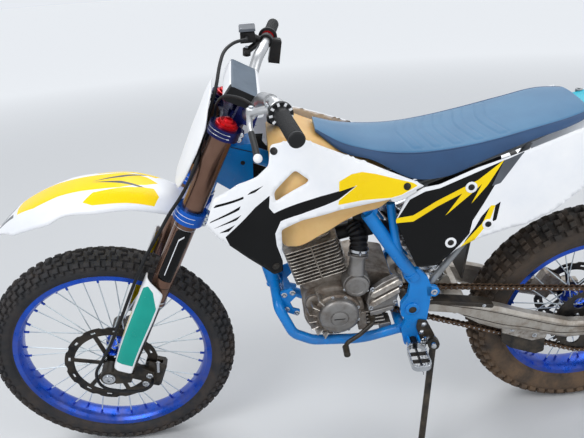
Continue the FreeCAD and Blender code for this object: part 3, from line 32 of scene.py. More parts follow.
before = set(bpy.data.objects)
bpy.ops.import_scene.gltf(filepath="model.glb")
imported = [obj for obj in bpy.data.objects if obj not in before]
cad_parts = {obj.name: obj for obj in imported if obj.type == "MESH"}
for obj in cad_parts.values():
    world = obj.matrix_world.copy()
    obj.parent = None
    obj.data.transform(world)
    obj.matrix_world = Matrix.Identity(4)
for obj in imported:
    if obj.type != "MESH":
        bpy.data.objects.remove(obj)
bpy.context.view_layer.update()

mm = 0.001
stance = {"leanDegrees": 11.0, "originX": 682.0, "originY": -216.0, "rakeDegrees": 27.0, "trail": 110.0,
          "forkOffset": 22.0, "legSpacing": 100.0, "frontAxle": (0.0, 0.0, 345.94),
          "rearAxle": (1370.0, 0.0, 340.20), "chainPitch": 15.875}


# shape helpers; a mesh is a pair of points and faces

def toRow(upright):
    # turn about X by the lean, then shift the origin to the floor under the middle
    lean = math.radians(stance["leanDegrees"])
    x, y, z = np.moveaxis(np.asarray(upright, float), -1, 0)
    return np.stack([x - stance["originX"], y * math.cos(lean) - z * math.sin(lean) - stance["originY"],
                     y * math.sin(lean) + z * math.cos(lean)], -1) * mm


def steer(s, n, y=0.0):
    # s up the steering axis, n ahead of it, y to the right
    rake = math.radians(stance["rakeDegrees"])
    s, n, y = np.broadcast_arrays(np.asarray(s, float), np.asarray(n, float), np.asarray(y, float))
    return np.stack([s * math.sin(rake) - n * math.cos(rake) - stance["trail"], y,
                     s * math.cos(rake) + n * math.sin(rake)], -1)


forkUp = steer(1, 0) - steer(0, 0)
forkAhead = steer(0, 1) - steer(0, 0)


def unit(vectors):
    vectors = np.asarray(vectors, float)
    return vectors / np.linalg.norm(vectors, axis=-1, keepdims=True)


def fullTurn(count):
    # equal angles once round
    return np.linspace(0, 2 * np.pi, count, endpoint=False)


def squareTo(axis, reference):
    # two unit directions square to the axis and to each other
    side = unit(np.cross(axis, reference))
    return side, np.cross(axis, side)


def around(angle, side, up):
    # the directions at these angles in the plane of side and up
    angle = np.asarray(angle, float)[..., None]
    return np.cos(angle) * side + np.sin(angle) * up


def inPlane(angle):
    # directions at these angles in the motorcycle's middle plane
    return around(angle, (1.0, 0, 0), (0, 0, 1.0))


def cubicBetween(t, width, start, end, startSlope, endSlope):
    # the cubic with these values and slopes at its ends, t from 0 to 1 across the width
    return ((2 * t ** 3 - 3 * t ** 2 + 1) * start + (t ** 3 - 2 * t ** 2 + t) * width * startSlope
            + (3 * t ** 2 - 2 * t ** 3) * end + (t ** 3 - t ** 2) * width * endSlope)


def smoothRead(knots, values, at):
    # cubic through the knots; the slope at a knot is the mean slope round it, and past the ends the cubic
    # runs on for a fifth of a step
    knots = np.asarray(knots, float)
    values = np.asarray(values, float)
    slopes = np.gradient(values, knots, axis=0)
    at = np.asarray(at, float)
    k = np.clip(np.searchsorted(knots, at) - 1, 0, len(knots) - 2)
    width = knots[k + 1] - knots[k]
    t = np.clip((at - knots[k]) / width, -0.2, 1.2)
    spread = (slice(None),) * at.ndim + (None,) * (values.ndim - 1)
    return cubicBetween(t[spread], width[spread], values[k], values[k + 1], slopes[k], slopes[k + 1])


def pathLength(points):
    # distance along a line of points at each of them
    return np.concatenate([[0], np.cumsum(np.linalg.norm(np.diff(points, axis=0), axis=1))])


def curveThrough(points, step=4.0):
    # a smooth line through the points, read about every step
    points = np.asarray(points, float)
    knots = pathLength(points)
    return smoothRead(knots, points, np.linspace(0, knots[-1], max(3, int(knots[-1] / step))))


def gridFaces(rows, columns, closedRows=False, closedColumns=False, start=0):
    # quads of a grid stored row by row
    i, j = np.meshgrid(np.arange(rows - (not closedRows)), np.arange(columns - (not closedColumns)),
                       indexing="ij")
    nextI, nextJ = (i + 1) % rows, (j + 1) % columns
    corners = [i * columns + j, i * columns + nextJ, nextI * columns + nextJ, nextI * columns + j]
    return (np.stack(corners, -1).reshape(-1, 4) + start).tolist()


def surfaceOf(points, closedRows=False, closedColumns=False, caps=False):
    # a grid of points as a mesh; caps closes the first and last row with a face each
    rows, columns = points.shape[:2]
    faces = gridFaces(rows, columns, closedRows, closedColumns)
    if caps:
        faces += [list(range(columns)), list(range((rows - 1) * columns, rows * columns))]
    return points.reshape(-1, 3), faces


def turned(profile, centre, axis, count=64, closed=False):
    # profile of (along the axis, radius), carried round the axis: p = c + a*along + r*(u cos t + v sin t)
    profile = np.asarray(profile, float)
    axis = unit(axis)
    side, up = squareTo(axis, (0.31, 0.17, 0.93) if abs(axis[2]) < 0.8 else (0.93, 0.31, 0.17))
    out = around(fullTurn(count), side, up)[:, None]
    points = np.asarray(centre, float) + profile[None, :, :1] * axis + profile[None, :, 1:] * out
    if closed:
        return surfaceOf(points, closedRows=True, closedColumns=True)
    faces = gridFaces(count, len(profile), closedRows=True)
    # an end that stands off the axis is closed by a face
    ends = [k for k in (0, len(profile) - 1) if profile[k, 1] > 1e-6]
    faces += [[row * len(profile) + k for row in range(count)] for k in ends]
    return points.reshape(-1, 3), faces


def collar(low, high, inner, outer, centre, axis, count):
    # a plain ring round an axis
    return turned(((low, inner), (low, outer), (high, outer), (high, inner)), centre, axis, count,
                  closed=True)


def swept(path, radius, sides=12, reference=(0, 1, 0), flat=1.0):
    # a round or flattened section carried along a path: p = c(s) + r*(side cos t + flat*up sin t)
    path = np.asarray(path, float)
    along = unit(np.gradient(path, axis=0))
    side = unit(np.cross(along, reference))
    up = flat * np.cross(side, along)
    radius = np.broadcast_to(np.asarray(radius, float), len(path))[:, None, None]
    points = path[:, None] + radius * around(fullTurn(sides)[None], side[:, None], up[:, None])
    return surfaceOf(points, closedColumns=True, caps=True)


def rods(starts, ends, radius, sides=8):
    # straight round bars: p = a + (b - a)*t + r*(side cos + up sin)
    starts, ends = np.atleast_2d(np.asarray(starts, float)), np.atleast_2d(np.asarray(ends, float))
    along = unit(ends - starts)
    side, up = squareTo(along, np.where(np.abs(along[:, 1:2]) < 0.9, (0, 1.0, 0), (1.0, 0, 0)))
    ring = radius * around(fullTurn(sides)[None], side[:, None], up[:, None])
    points = np.stack([starts[:, None] + ring, ends[:, None] + ring], 1)
    faces = []
    for base in range(0, len(starts) * 2 * sides, 2 * sides):
        faces += gridFaces(2, sides, closedColumns=True, start=base)
        faces += [list(range(base, base + sides)), list(range(base + sides, base + 2 * sides))]
    return points.reshape(-1, 3), faces


def bead(centre, axis, radius):
    # a weld round a tube: the bead's own thickness ripples along the ring
    size, ripple, perMillimetre = 2.6, 0.15, 1.6
    side, up = squareTo(unit(axis), (0.1, 0.98, 0.15))
    angle = np.linspace(0, 2 * np.pi, int(radius * 4))
    path = np.asarray(centre, float) + radius * around(angle, side, up)
    thick = size * (1 - ripple + ripple * np.cos(angle * radius * perMillimetre))
    return swept(path, thick, 6, unit(axis))


def block(length, width, height, chamfer=0.0, taper=1.0):
    # a box from z = 0 up, its top face smaller by the taper and its edges cut by the chamfer
    low = np.array([length, width]) / 2
    high = low * taper
    corner = np.array([(-1, -1), (1, -1), (1, 1), (-1, 1)], float)
    levels = ((low, 0), (high, height - chamfer), (high - chamfer, height))
    rings = np.array([np.column_stack([corner * half, np.full(4, z)]) for half, z in levels])
    return surfaceOf(rings, closedColumns=True, caps=True)


def slab(corners, start, end, radius=6.0, bevel=1.5, step=8.0):
    # an outline in x and z drawn across from start to end, both rims cut by the bevel
    ring = softOutline(corners, radius, step)
    along = unit(np.roll(ring, -1, 0) - np.roll(ring, 1, 0))
    inward = np.column_stack([-along[:, 1], along[:, 0]])
    turn = np.sign(np.sum(ring[:, 0] * np.roll(ring[:, 1], -1) - np.roll(ring[:, 0], -1) * ring[:, 1]))
    inset = ring + inward * bevel * turn
    rim = bevel * np.sign(end - start)
    rows = ((inset, start), (ring, start + rim), (ring, end - rim), (inset, end))
    points = np.array([np.column_stack([line[:, 0], np.full(len(line), y), line[:, 1]]) for line, y in rows])
    return surfaceOf(points, closedColumns=True, caps=True)


def oblong(centre, half, start, end, radius, bevel, step=8.0):
    # a slab whose outline is a rectangle round a centre in x and z
    (x, z), (halfX, halfZ) = centre, half
    corners = ((x - halfX, z - halfZ), (x + halfX, z - halfZ), (x + halfX, z + halfZ), (x - halfX, z + halfZ))
    return slab(corners, start, end, radius, bevel, step)


def hexBolt(radius, height):
    # a six-sided head whose crown narrows in two steps
    corner = around(fullTurn(6), (1.0, 0), (0, 1.0))
    levels = ((1, 0), (1, height * 0.75), (0.86, height), (0.5, height * 1.06))
    rows = [np.column_stack([corner * radius * share, np.full(6, z)]) for share, z in levels]
    return surfaceOf(np.array(rows), closedColumns=True, caps=True)


def discStack(rings, count=20):
    # a turned head or washer about z, from (height, radius) pairs
    return turned(rings, (0, 0, 0), (0, 0, 1), count)


def boltHead(radius, height, washer=1.6):
    # hex head on its washer
    head = hexBolt(radius, height)
    disc = discStack(((0, radius * 1.55), (washer * 0.7, radius * 1.55), (washer, radius * 1.4), (washer, 0)))
    return together((head[0] + (0, 0, washer), head[1]), disc)[:2]


def toothedRing(teeth, centre, start, end):
    # sprocket outline: root, tip, tip, root for each tooth
    out = stance["chainPitch"] / (2 * math.sin(math.pi / teeth))
    angle = 2 * np.pi * (np.arange(teeth)[:, None] + np.array((-0.24, -0.08, 0.08, 0.24))) / teeth
    radius = out + np.array((-5.2, 4.6, 4.6, -5.2))
    ring = np.asarray(centre) + radius[:, None] * around(angle, (1.0, 0), (0, 1.0))
    return slab(ring.reshape(-1, 2), start, end, 0.6, 0.7, 9.0)


def copies(template, origins, normals, forwards=None):
    # the template's z is laid along each normal and its x along each forward direction; a single normal
    # or forward direction serves every copy
    points, faces = template
    origins, normals = np.broadcast_arrays(np.asarray(origins, float).reshape(-1, 3),
                                           unit(normals).reshape(-1, 3))
    if forwards is None:
        forwards = np.where(np.abs(normals[:, :1]) < 0.9, (1.0, 0, 0), (0, 0, 1.0))
    across = unit(np.cross(normals, forwards))
    ahead = np.cross(across, normals)
    points = np.asarray(points, float)
    placed = (origins[:, None] + points[None, :, :1] * ahead[:, None] + points[None, :, 1:2] * across[:, None]
              + points[None, :, 2:] * normals[:, None])
    allFaces = [[v + k * len(points) for v in face] for k in range(len(origins)) for face in faces]
    return placed.reshape(-1, 3), allFaces


def together(*meshes):
    # several meshes as one, and for each face the number of the mesh that it came from
    points, faces, source, start = [], [], [], 0
    for k, (somePoints, someFaces) in enumerate(meshes):
        points.append(np.asarray(somePoints, float))
        faces += [[v + start for v in face] for face in someFaces]
        source += [k] * len(someFaces)
        start += len(somePoints)
    return np.concatenate(points), faces, source


def insidePolygon(points, polygon):
    # a point is inside where a line from it crosses the outline an odd number of times
    x, y = points.T
    px, py = polygon.T[:, :, None]
    qx, qy = np.roll(polygon, -1, 0).T[:, :, None]
    rise = np.where(qy == py, 1e-12, qy - py)
    crossed = ((py > y) != (qy > y)) & (x < (qx - px) * (y - py) / rise + px)
    return crossed.sum(0) % 2 == 1


def softOutline(corners, radius=8.0, step=6.0):
    # an outline with each corner rounded by a parabola, and points along it every step
    corners = np.asarray(corners, float)
    before, after = np.roll(corners, 1, 0) - corners, np.roll(corners, -1, 0) - corners
    sizes = [np.linalg.norm(v, axis=1) for v in (before, after)]
    radius = np.broadcast_to(np.asarray(radius, float), len(corners))
    cut = np.minimum(radius, 0.45 * np.minimum(*sizes))[:, None]
    start, end = corners + before / sizes[0][:, None] * cut, corners + after / sizes[1][:, None] * cut
    t = np.linspace(0, 1, 5)[None, :, None]
    arcs = (1 - t) ** 2 * start[:, None] + 2 * t * (1 - t) * corners[:, None] + t ** 2 * end[:, None]
    pieces = []
    for k in range(len(corners)):
        gapStart, gapEnd = arcs[k, -1], arcs[(k + 1) % len(corners), 0]
        count = max(1, int(np.linalg.norm(gapEnd - gapStart) / step))
        run = gapStart + (gapEnd - gapStart) * np.linspace(0, 1, count, endpoint=False)[1:, None]
        pieces += [arcs[k] if cut[k, 0] > 0.01 else arcs[k][:1], run]
    return np.concatenate(pieces)


def cutPanel(outline, surface, regions=(), windows=(), step=9.0):
    # a flat domain is filled with triangles whose edges follow every outline, and the surface bends it:
    # p = surface(u, v). Each region is an outline with its material's number.
    lines = [outline] + [ring for ring, number in regions] + list(windows)
    edges, start = [], 0
    for ring in lines:
        index = np.arange(len(ring)) + start
        edges += np.column_stack([index, np.roll(index, -1)]).tolist()
        start += len(ring)
    fixed = np.concatenate(lines)
    low, high = outline.min(0), outline.max(0)
    u, v = np.meshgrid(np.arange(low[0], high[0], step), np.arange(low[1], high[1], step * 0.87))
    u[1::2] += step / 2
    lattice = np.column_stack([u.ravel(), v.ravel()])
    lattice = lattice[insidePolygon(lattice, outline)]
    # lattice points too near an outline are left out
    apart = np.array([np.min(np.sum((fixed - p) ** 2, 1)) for p in lattice]) if len(lattice) else np.zeros(0)
    domain = np.concatenate([fixed, lattice[apart > (0.5 * step) ** 2]])
    filled = delaunay_2d_cdt([Vector(p) for p in domain], edges, [], 0, 1e-4)
    flat, triangles = np.array([tuple(p) for p in filled[0]]), np.array(filled[2])
    middle = flat[triangles].mean(1)
    kept = insidePolygon(middle, outline)
    for ring in windows:
        kept &= ~insidePolygon(middle, ring)
    triangles, middle = triangles[kept], middle[kept]
    numbers = np.zeros(len(triangles), int)
    for ring, number in regions:
        numbers[insidePolygon(middle, ring)] = number
    used, renumbered = np.unique(triangles, return_inverse=True)
    return (surface(flat[used, 0], flat[used, 1]), renumbered.reshape(-1, 3).tolist()), numbers.tolist()


def addPiece(name, mesh, body, materials, numbers=None, replaced=(), wall=0.0, sharpDegrees=38.0,
             closed=True):
    # puts a mesh of upright millimetres into the scene; a closed one is welded and its faces turned outward,
    # and wall is a thickness that Solidify adds inward
    data = bpy.data.meshes.new(name)
    data.from_pydata(toRow(mesh[0]).tolist(), [], mesh[1])
    for material in materials:
        data.materials.append(finish[material])
    if numbers is not None:
        data.polygons.foreach_set("material_index", numbers)
    if closed:
        shape = bmesh.new()
        shape.from_mesh(data)
        bmesh.ops.remove_doubles(shape, verts=shape.verts, dist=1e-6)
        bmesh.ops.recalc_face_normals(shape, faces=shape.faces)
        shape.to_mesh(data)
        shape.free()
    data.polygons.foreach_set("use_smooth", [True] * len(data.polygons))
    data.set_sharp_from_angle(angle=math.radians(sharpDegrees))
    piece = bpy.data.objects.new(name, data)
    bpy.context.scene.collection.objects.link(piece)
    if wall:
        thick = piece.modifiers.new("wall", "SOLIDIFY")
        thick.thickness = wall * mm
        thick.offset = -1.0
    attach(piece, body)
    if replaced:
        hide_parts(*replaced)
    return piece


def dressed(name, parts, body, replaced=(), sharpDegrees=34.0, closed=True):
    # parts are (mesh, material) pairs that make one piece
    points, faces, source = together(*[mesh for mesh, coat in parts])
    names = sorted({coat for mesh, coat in parts})
    numbers = [names.index(parts[k][1]) for k in source]
    addPiece(name, (points, faces), body, names, numbers=numbers, replaced=replaced,
             sharpDegrees=sharpDegrees, closed=closed)


# camera

view = {"place": (-0.2097, -1.5555, 1.3127), "yaw": -2.24, "pitch": -20.12, "roll": -4.5,
        "lens": 40.80, "sensor": 36.0, "clipEnd": 300.0}


def turnAbout(axis, degrees):
    return Matrix.Rotation(math.radians(degrees), 4, axis)


def setCamera():
    lens = bpy.data.cameras.new("photoCamera")
    lens.sensor_width = view["sensor"]
    lens.lens = view["lens"]
    lens.clip_end = view["clipEnd"]
    camera = bpy.data.objects.new("photoCamera", lens)
    turn = turnAbout("Z", view["yaw"]) @ turnAbout("X", 90 + view["pitch"]) @ turnAbout("Z", view["roll"])
    camera.matrix_world = Matrix.Translation(view["place"]) @ turn
    bpy.context.scene.collection.objects.link(camera)
    bpy.context.scene.camera = camera


setCamera()
print("stage: camera set")


# materials

def linearColour(text):
    # sRGB hex to linear
    parts = np.array([int(text[k:k + 2], 16) for k in (1, 3, 5)]) / 255
    parts = np.where(parts <= 0.04045, parts / 12.92, ((parts + 0.055) / 1.055) ** 2.4)
    return (*parts.tolist(), 1.0)


def addNode(tree, kind, settings=None, links=None):
    # settings are the node's own values or its inputs' defaults; links feed its inputs from other nodes
    node = tree.nodes.new(kind)
    for key, value in (settings or {}).items():
        if isinstance(key, str) and hasattr(node, key) and key not in node.inputs:
            setattr(node, key, value)
        else:
            node.inputs[key].default_value = value
    for key, source in (links or {}).items():
        tree.links.new(source, node.inputs[key])
    return node


def addNoise(tree, size, detail, vector, roughness=0.5):
    # noise whose patches are about this many millimetres wide
    settings = {"Scale": 1000 / size, "Detail": detail, "Roughness": roughness}
    return addNode(tree, "ShaderNodeTexNoise", settings, {"Vector": vector}).outputs["Fac"]


def makeFinish(name, recipe):
    # one base colour, mottled by a second one, then dust over it, and a fine grain as bump
    recipe = {"mottleMm": 60, "grainMm": 2.0, "metal": 0.0, "stretch": (1, 1, 1), **recipe}
    roughSpread, dustRough, grainDepth = 0.06, 0.85, 0.0002
    material = bpy.data.materials.new(name)
    material.use_nodes = True
    tree = material.node_tree
    tree.nodes.clear()
    where = addNode(tree, "ShaderNodeTexCoord").outputs["Object"]
    settings = {"vector_type": "TEXTURE", "Rotation": (math.radians(stance["leanDegrees"]), 0, 0),
                "Location": (-stance["originX"] * mm, -stance["originY"] * mm, 0)}
    upright = addNode(tree, "ShaderNodeMapping", settings, {"Vector": where}).outputs[0]
    mottle = addNoise(tree, recipe["mottleMm"], 5.0, upright, 0.6)
    share = addNode(tree, "ShaderNodeMapRange", {"From Min": 0.36, "From Max": 0.68},
                    {"Value": mottle}).outputs[0]
    settings = {"data_type": "RGBA", 6: linearColour(recipe["base"]), 7: linearColour(recipe["second"])}
    colour = addNode(tree, "ShaderNodeMix", settings, {0: share}).outputs[2]
    settings = {"To Min": recipe["rough"] - roughSpread, "To Max": recipe["rough"] + roughSpread}
    roughness = addNode(tree, "ShaderNodeMapRange", settings, {"Value": mottle}).outputs[0]
    if "dust" in recipe:
        # settles where a coarse noise is high, and more towards the ground
        dust = {"cloudMm": 45, "from": 0.38, "to": 0.68, **recipe["dust"]}
        height = addNode(tree, "ShaderNodeSeparateXYZ", None, {"Vector": upright}).outputs[2]
        settings = {"From Min": dust["low"] * mm, "From Max": dust["high"] * mm, "To Min": 1.0,
                    "To Max": dust["aloft"]}
        level = addNode(tree, "ShaderNodeMapRange", settings, {"Value": height}).outputs[0]
        cloud = addNoise(tree, dust["cloudMm"], 8.0, upright, 0.68)
        settings = {"From Min": dust["from"], "From Max": dust["to"], "To Max": dust["amount"]}
        patch = addNode(tree, "ShaderNodeMapRange", settings, {"Value": cloud}).outputs[0]
        share = addNode(tree, "ShaderNodeMath", {"operation": "MULTIPLY"}, {0: level, 1: patch}).outputs[0]
        settings = {"data_type": "RGBA", 7: linearColour(dust["colour"])}
        colour = addNode(tree, "ShaderNodeMix", settings, {0: share, 6: colour}).outputs[2]
        settings = {"data_type": "FLOAT", 3: dustRough}
        roughness = addNode(tree, "ShaderNodeMix", settings, {0: share, 2: roughness}).outputs[0]
    grainPlace = addNode(tree, "ShaderNodeMapping", {"Scale": recipe["stretch"]},
                         {"Vector": upright}).outputs[0]
    grain = addNoise(tree, recipe["grainMm"], 3.0, grainPlace)
    settings = {"Strength": recipe["grain"], "Distance": recipe["grainMm"] * grainDepth}
    bump = addNode(tree, "ShaderNodeBump", settings, {"Height": grain}).outputs[0]
    settings = {"Metallic": recipe["metal"]}
    for key, socket in (("coat", "Coat Weight"), ("coatRough", "Coat Roughness"), ("sheen", "Sheen Weight"),
                        ("glow", "Subsurface Weight"), ("ior", "IOR")):
        if key in recipe:
            settings[socket] = recipe[key]
    if "glow" in recipe:
        settings["Subsurface Scale"] = 4 * mm
    shader = addNode(tree, "ShaderNodeBsdfPrincipled", settings,
                     {"Base Color": colour, "Roughness": roughness, "Normal": bump})
    addNode(tree, "ShaderNodeOutputMaterial", None, {"Surface": shader.outputs[0]})
    material.diffuse_color = linearColour(recipe["base"])
    return material


# dust: colour, its most, the heights between which it thins out, and what is left above them
mud = {"colour": "#6B543D", "amount": 0.75, "low": 100, "high": 750, "aloft": 0.25}
lightDust = {"colour": "#8A7A64", "amount": 0.35, "low": 50, "high": 900, "aloft": 0.1}

recipes = {
    # injection-moulded polypropylene: even colour, soft gloss, faint scuffs
    "whitePlastic": {"base": "#F1F2F4", "second": "#E6E9EE", "rough": 0.32, "grain": 0.05, "ior": 1.49,
                     "mottleMm": 140},
    "blackPlastic": {"base": "#0D0E10", "second": "#15161A", "rough": 0.42, "grain": 0.16, "grainMm": 1.6,
                     "ior": 1.36, "dust": lightDust},
    # printed vinyl sheet under a clear film
    "yellowVinyl": {"base": "#FADA06", "second": "#F5D004", "rough": 0.26, "grain": 0.04, "mottleMm": 160,
                    "ior": 1.32},
    "blackVinyl": {"base": "#060607", "second": "#090A0B", "rough": 0.24, "grain": 0.04, "ior": 1.28},
    "greyVinyl": {"base": "#4A4E55", "second": "#5A5F66", "rough": 0.30, "grain": 0.04, "ior": 1.36},
    "tealVinyl": {"base": "#0FA091", "second": "#0C988A", "rough": 0.26, "grain": 0.04, "ior": 1.36},
    "cyanVinyl": {"base": "#10B0C6", "second": "#0EA4BC", "rough": 0.26, "grain": 0.04, "ior": 1.36},
    # roto-moulded polyethylene: waxy, lets a little light in
    "tankPlastic": {"base": "#E0BA7C", "second": "#D3A664", "rough": 0.42, "grain": 0.10, "grainMm": 3.0,
                    "glow": 0.12, "mottleMm": 90},
    # vinyl-coated cover, embossed, lighter where the sky reaches it
    "seatTop": {"base": "#2E6C93", "second": "#27628A", "rough": 0.52, "grain": 0.45, "grainMm": 1.8,
                "sheen": 0.25, "mottleMm": 120},
    "seatSide": {"base": "#1E456E", "second": "#1A3C62", "rough": 0.48, "grain": 0.40, "grainMm": 1.8,
                 "sheen": 0.15, "mottleMm": 120},
    "slateCover": {"base": "#4C5C6C", "second": "#435261", "rough": 0.55, "grain": 0.35, "grainMm": 1.5},
    "blackCover": {"base": "#0A0B0C", "second": "#101113", "rough": 0.5, "grain": 0.35, "grainMm": 1.5,
                   "ior": 1.34},
    # natural rubber with carbon black, dirt dried into the tread
    "tyreRubber": {"base": "#1C1D20", "second": "#26262A", "rough": 0.72, "grain": 0.5, "grainMm": 2.5,
                   "dust": {"colour": "#5B4A38", "amount": 0.55, "low": 0, "high": 640, "aloft": 0.35,
                            "cloudMm": 60, "from": 0.42, "to": 0.72}},
    "rearRubber": {"base": "#1C1D1F", "second": "#2A2825", "rough": 0.78, "grain": 0.5, "grainMm": 2.5,
                   "dust": {"colour": "#6B5540", "amount": 0.9, "low": 120, "high": 640, "aloft": 0.3,
                            "cloudMm": 70, "from": 0.30, "to": 0.62}},
    "softRubber": {"base": "#0C0D0F", "second": "#141518", "rough": 0.52, "grain": 0.25, "grainMm": 2.0,
                   "ior": 1.38},
    # clear-coated or dyed aluminium: colour sits in the metal, so highlights are tinted
    "royalAnodised": {"base": "#0E52C8", "second": "#0B45AE", "rough": 0.24, "metal": 0.75, "grain": 0.08,
                      "grainMm": 1.0, "dust": lightDust},
    "navyAnodised": {"base": "#121C5C", "second": "#0E164A", "rough": 0.26, "metal": 0.7, "grain": 0.06},
    "skyAnodised": {"base": "#0E5FC6", "second": "#0B55B4", "rough": 0.28, "metal": 0.6, "grain": 0.06},
    "bronzeAnodised": {"base": "#7A5E50", "second": "#6A4F42", "rough": 0.24, "metal": 0.85, "grain": 0.08,
                       "grainMm": 1.2, "stretch": (1, 1, 0.08)},
    "redAnodised": {"base": "#D8101C", "second": "#C00D18", "rough": 0.25, "metal": 0.6, "grain": 0.05},
    # gloss powder coat over steel tube
    "framePaint": {"base": "#0480D2", "second": "#0376C6", "rough": 0.25, "grain": 0.10, "grainMm": 3.0,
                   "ior": 1.40, "coat": 0.1, "coatRough": 0.10,
                   "dust": {"colour": "#5C4A38", "amount": 0.5, "low": 330, "high": 480, "aloft": 0.05,
                            "cloudMm": 30}},
    # zinc-plated wire: pale and a little matt
    "spokeWire": {"base": "#DDE6E8", "second": "#CCD6DA", "rough": 0.42, "metal": 0.5, "grain": 0.05},
    # bare steel, turned or drawn
    "brightSteel": {"base": "#C9CCD0", "second": "#B5B8BC", "rough": 0.26, "metal": 1.0, "grain": 0.08},
    "darkSteel": {"base": "#26272A", "second": "#323336", "rough": 0.38, "metal": 0.8, "grain": 0.15,
                  "dust": lightDust},
    "blackPaint": {"base": "#0A0B0C", "second": "#111214", "rough": 0.36, "grain": 0.12, "ior": 1.38,
                   "dust": lightDust},
    "chainSteel": {"base": "#6A5442", "second": "#4A3728", "rough": 0.55, "metal": 0.7, "grain": 0.3,
                   "mottleMm": 14},
    # brushed tube and plate aluminium
    "brushedAlloy": {"base": "#C4C5C6", "second": "#AFB0B1", "rough": 0.32, "metal": 0.9, "grain": 0.15,
                     "grainMm": 1.2, "stretch": (0.08, 1, 1)},
    "armAlloy": {"base": "#B9B4AC", "second": "#A39C92", "rough": 0.42, "metal": 0.75, "grain": 0.22,
                 "grainMm": 1.6,
                 "dust": {"colour": "#6A543E", "amount": 0.7, "low": 300, "high": 560, "aloft": 0.2,
                          "cloudMm": 34, "from": 0.42, "to": 0.66}},
    # sand-cast aluminium: matt, pitted, brown where oil holds the dust
    "castAlloy": {"base": "#9A938B", "second": "#7C736A", "rough": 0.5, "metal": 0.7, "grain": 0.6,
                  "grainMm": 2.2, "mottleMm": 26,
                  "dust": {"colour": "#5A4432", "amount": 0.85, "low": 420, "high": 800, "aloft": 0.7,
                           "cloudMm": 40, "from": 0.44, "to": 0.66}},
    "coverAlloy": {"base": "#8E8C8A", "second": "#7E7B78", "rough": 0.42, "metal": 0.75, "grain": 0.3,
                   "grainMm": 1.6, "mottleMm": 40,
                   "dust": {"colour": "#5A4432", "amount": 0.5, "low": 380, "high": 640, "aloft": 0.3,
                            "cloudMm": 40, "from": 0.5, "to": 0.7}},
    # fin edges rubbed bright, their roots brown
    "finAlloy": {"base": "#C2BDB6", "second": "#8E867D", "rough": 0.36, "metal": 0.8, "grain": 0.35,
                 "grainMm": 1.8, "mottleMm": 18,
                 "dust": {"colour": "#5A4432", "amount": 0.7, "low": 420, "high": 800, "aloft": 0.6,
                          "cloudMm": 26, "from": 0.5, "to": 0.66}},
    "chainDark": {"base": "#2E2218", "second": "#1E1712", "rough": 0.7, "metal": 0.5, "grain": 0.3,
                  "mottleMm": 14},
    "discSteel": {"base": "#2A2B2E", "second": "#1E1F22", "rough": 0.36, "metal": 0.85, "grain": 0.15,
                  "dust": lightDust},
    "greyStrut": {"base": "#9CA0A3", "second": "#85898C", "rough": 0.4, "metal": 0.7, "grain": 0.2,
                  "dust": mud},
}

finish = {name: makeFinish(name, recipe) for name, recipe in recipes.items()}
print("stage:", len(finish), "materials")

# finishes of the solids that show as they are
solidFinish = {
    "discSteel": ("front_disc", "rear_disc"), "darkSteel": ("rear_sprocket",),
    "skyAnodised": ("lower_clamp",), "castAlloy": ("rear_caliper",), "framePaint": ("frame",),
    "blackPaint": ("front_axle", "fork_sliders", "front_caliper", "gear_lever", "brake_pedal", "side_stand"),
    "brightSteel": ("rear_axle", "shock", "header_pipe"), "blackPlastic": ("chain_guide", "airbox"),
    "bronzeAnodised": ("fork_tubes",), "navyAnodised": ("upper_clamp",),
    "brushedAlloy": ("handlebar", "muffler"), "greyStrut": ("subframe",), "armAlloy": ("swingarm",),
    "softRubber": ("carburettor", "brake_hose", "clutch_cable"),
}

for name, nodes in solidFinish.items():
    for node in nodes:
        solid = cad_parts[node]
        solid.data.materials.clear()
        solid.data.materials.append(finish[name])

studio = {"sky": 0.6, "skyColour": "#E8ECF2", "near": 1.6, "far": 9.0, "nearFloor": "#D4D6D8",
          "farFloor": "#EEF0F2", "farGlow": 0.45, "floorRough": 0.95, "floorSpecular": 0.1, "floorHalf": 90,
          # place, aim, size and power of each lamp
          "lamps": (("keyLamp", (-2.4, -2.6, 3.6), (0, 0, 0.5), 2.2, 95),
                    ("fillLamp", (2.6, -2.2, 2.4), (0.2, 0, 0.5), 2.6, 40),
                    ("topLamp", (0.3, 1.6, 4.0), (0, 0, 0.6), 3.0, 70))}


def setFloor():
    # a plain pale floor whose far part lightens into the backdrop
    half = studio["floorHalf"]
    floor = bpy.data.meshes.new("floor")
    floor.from_pydata([(-half, -half, 0), (half, -half, 0), (half, half, 0), (-half, half, 0)], [],
                      [(0, 1, 2, 3)])
    floorPiece = bpy.data.objects.new("floor", floor)
    bpy.context.scene.collection.objects.link(floorPiece)
    paper = bpy.data.materials.new("paperFloor")
    paper.use_nodes = True
    tree = paper.node_tree
    shader = tree.nodes["Principled BSDF"]
    shader.inputs["Roughness"].default_value = studio["floorRough"]
    shader.inputs["Specular IOR Level"].default_value = studio["floorSpecular"]
    where = addNode(tree, "ShaderNodeTexCoord").outputs["Object"]
    reach = addNode(tree, "ShaderNodeVectorMath", {"operation": "LENGTH"}, {0: where}).outputs["Value"]
    settings = {"From Min": studio["near"], "From Max": studio["far"]}
    far = addNode(tree, "ShaderNodeMapRange", settings, {"Value": reach}).outputs[0]
    settings = {"data_type": "RGBA", 6: linearColour(studio["nearFloor"]),
                7: linearColour(studio["farFloor"])}
    shade = addNode(tree, "ShaderNodeMix", settings, {0: far}).outputs[2]
    glow = addNode(tree, "ShaderNodeMath", {"operation": "MULTIPLY", 1: studio["farGlow"]},
                   {0: far}).outputs[0]
    for source, socket in ((shade, "Base Color"), (shade, "Emission Color"), (glow, "Emission Strength")):
        tree.links.new(source, shader.inputs[socket])
    floor.materials.append(paper)


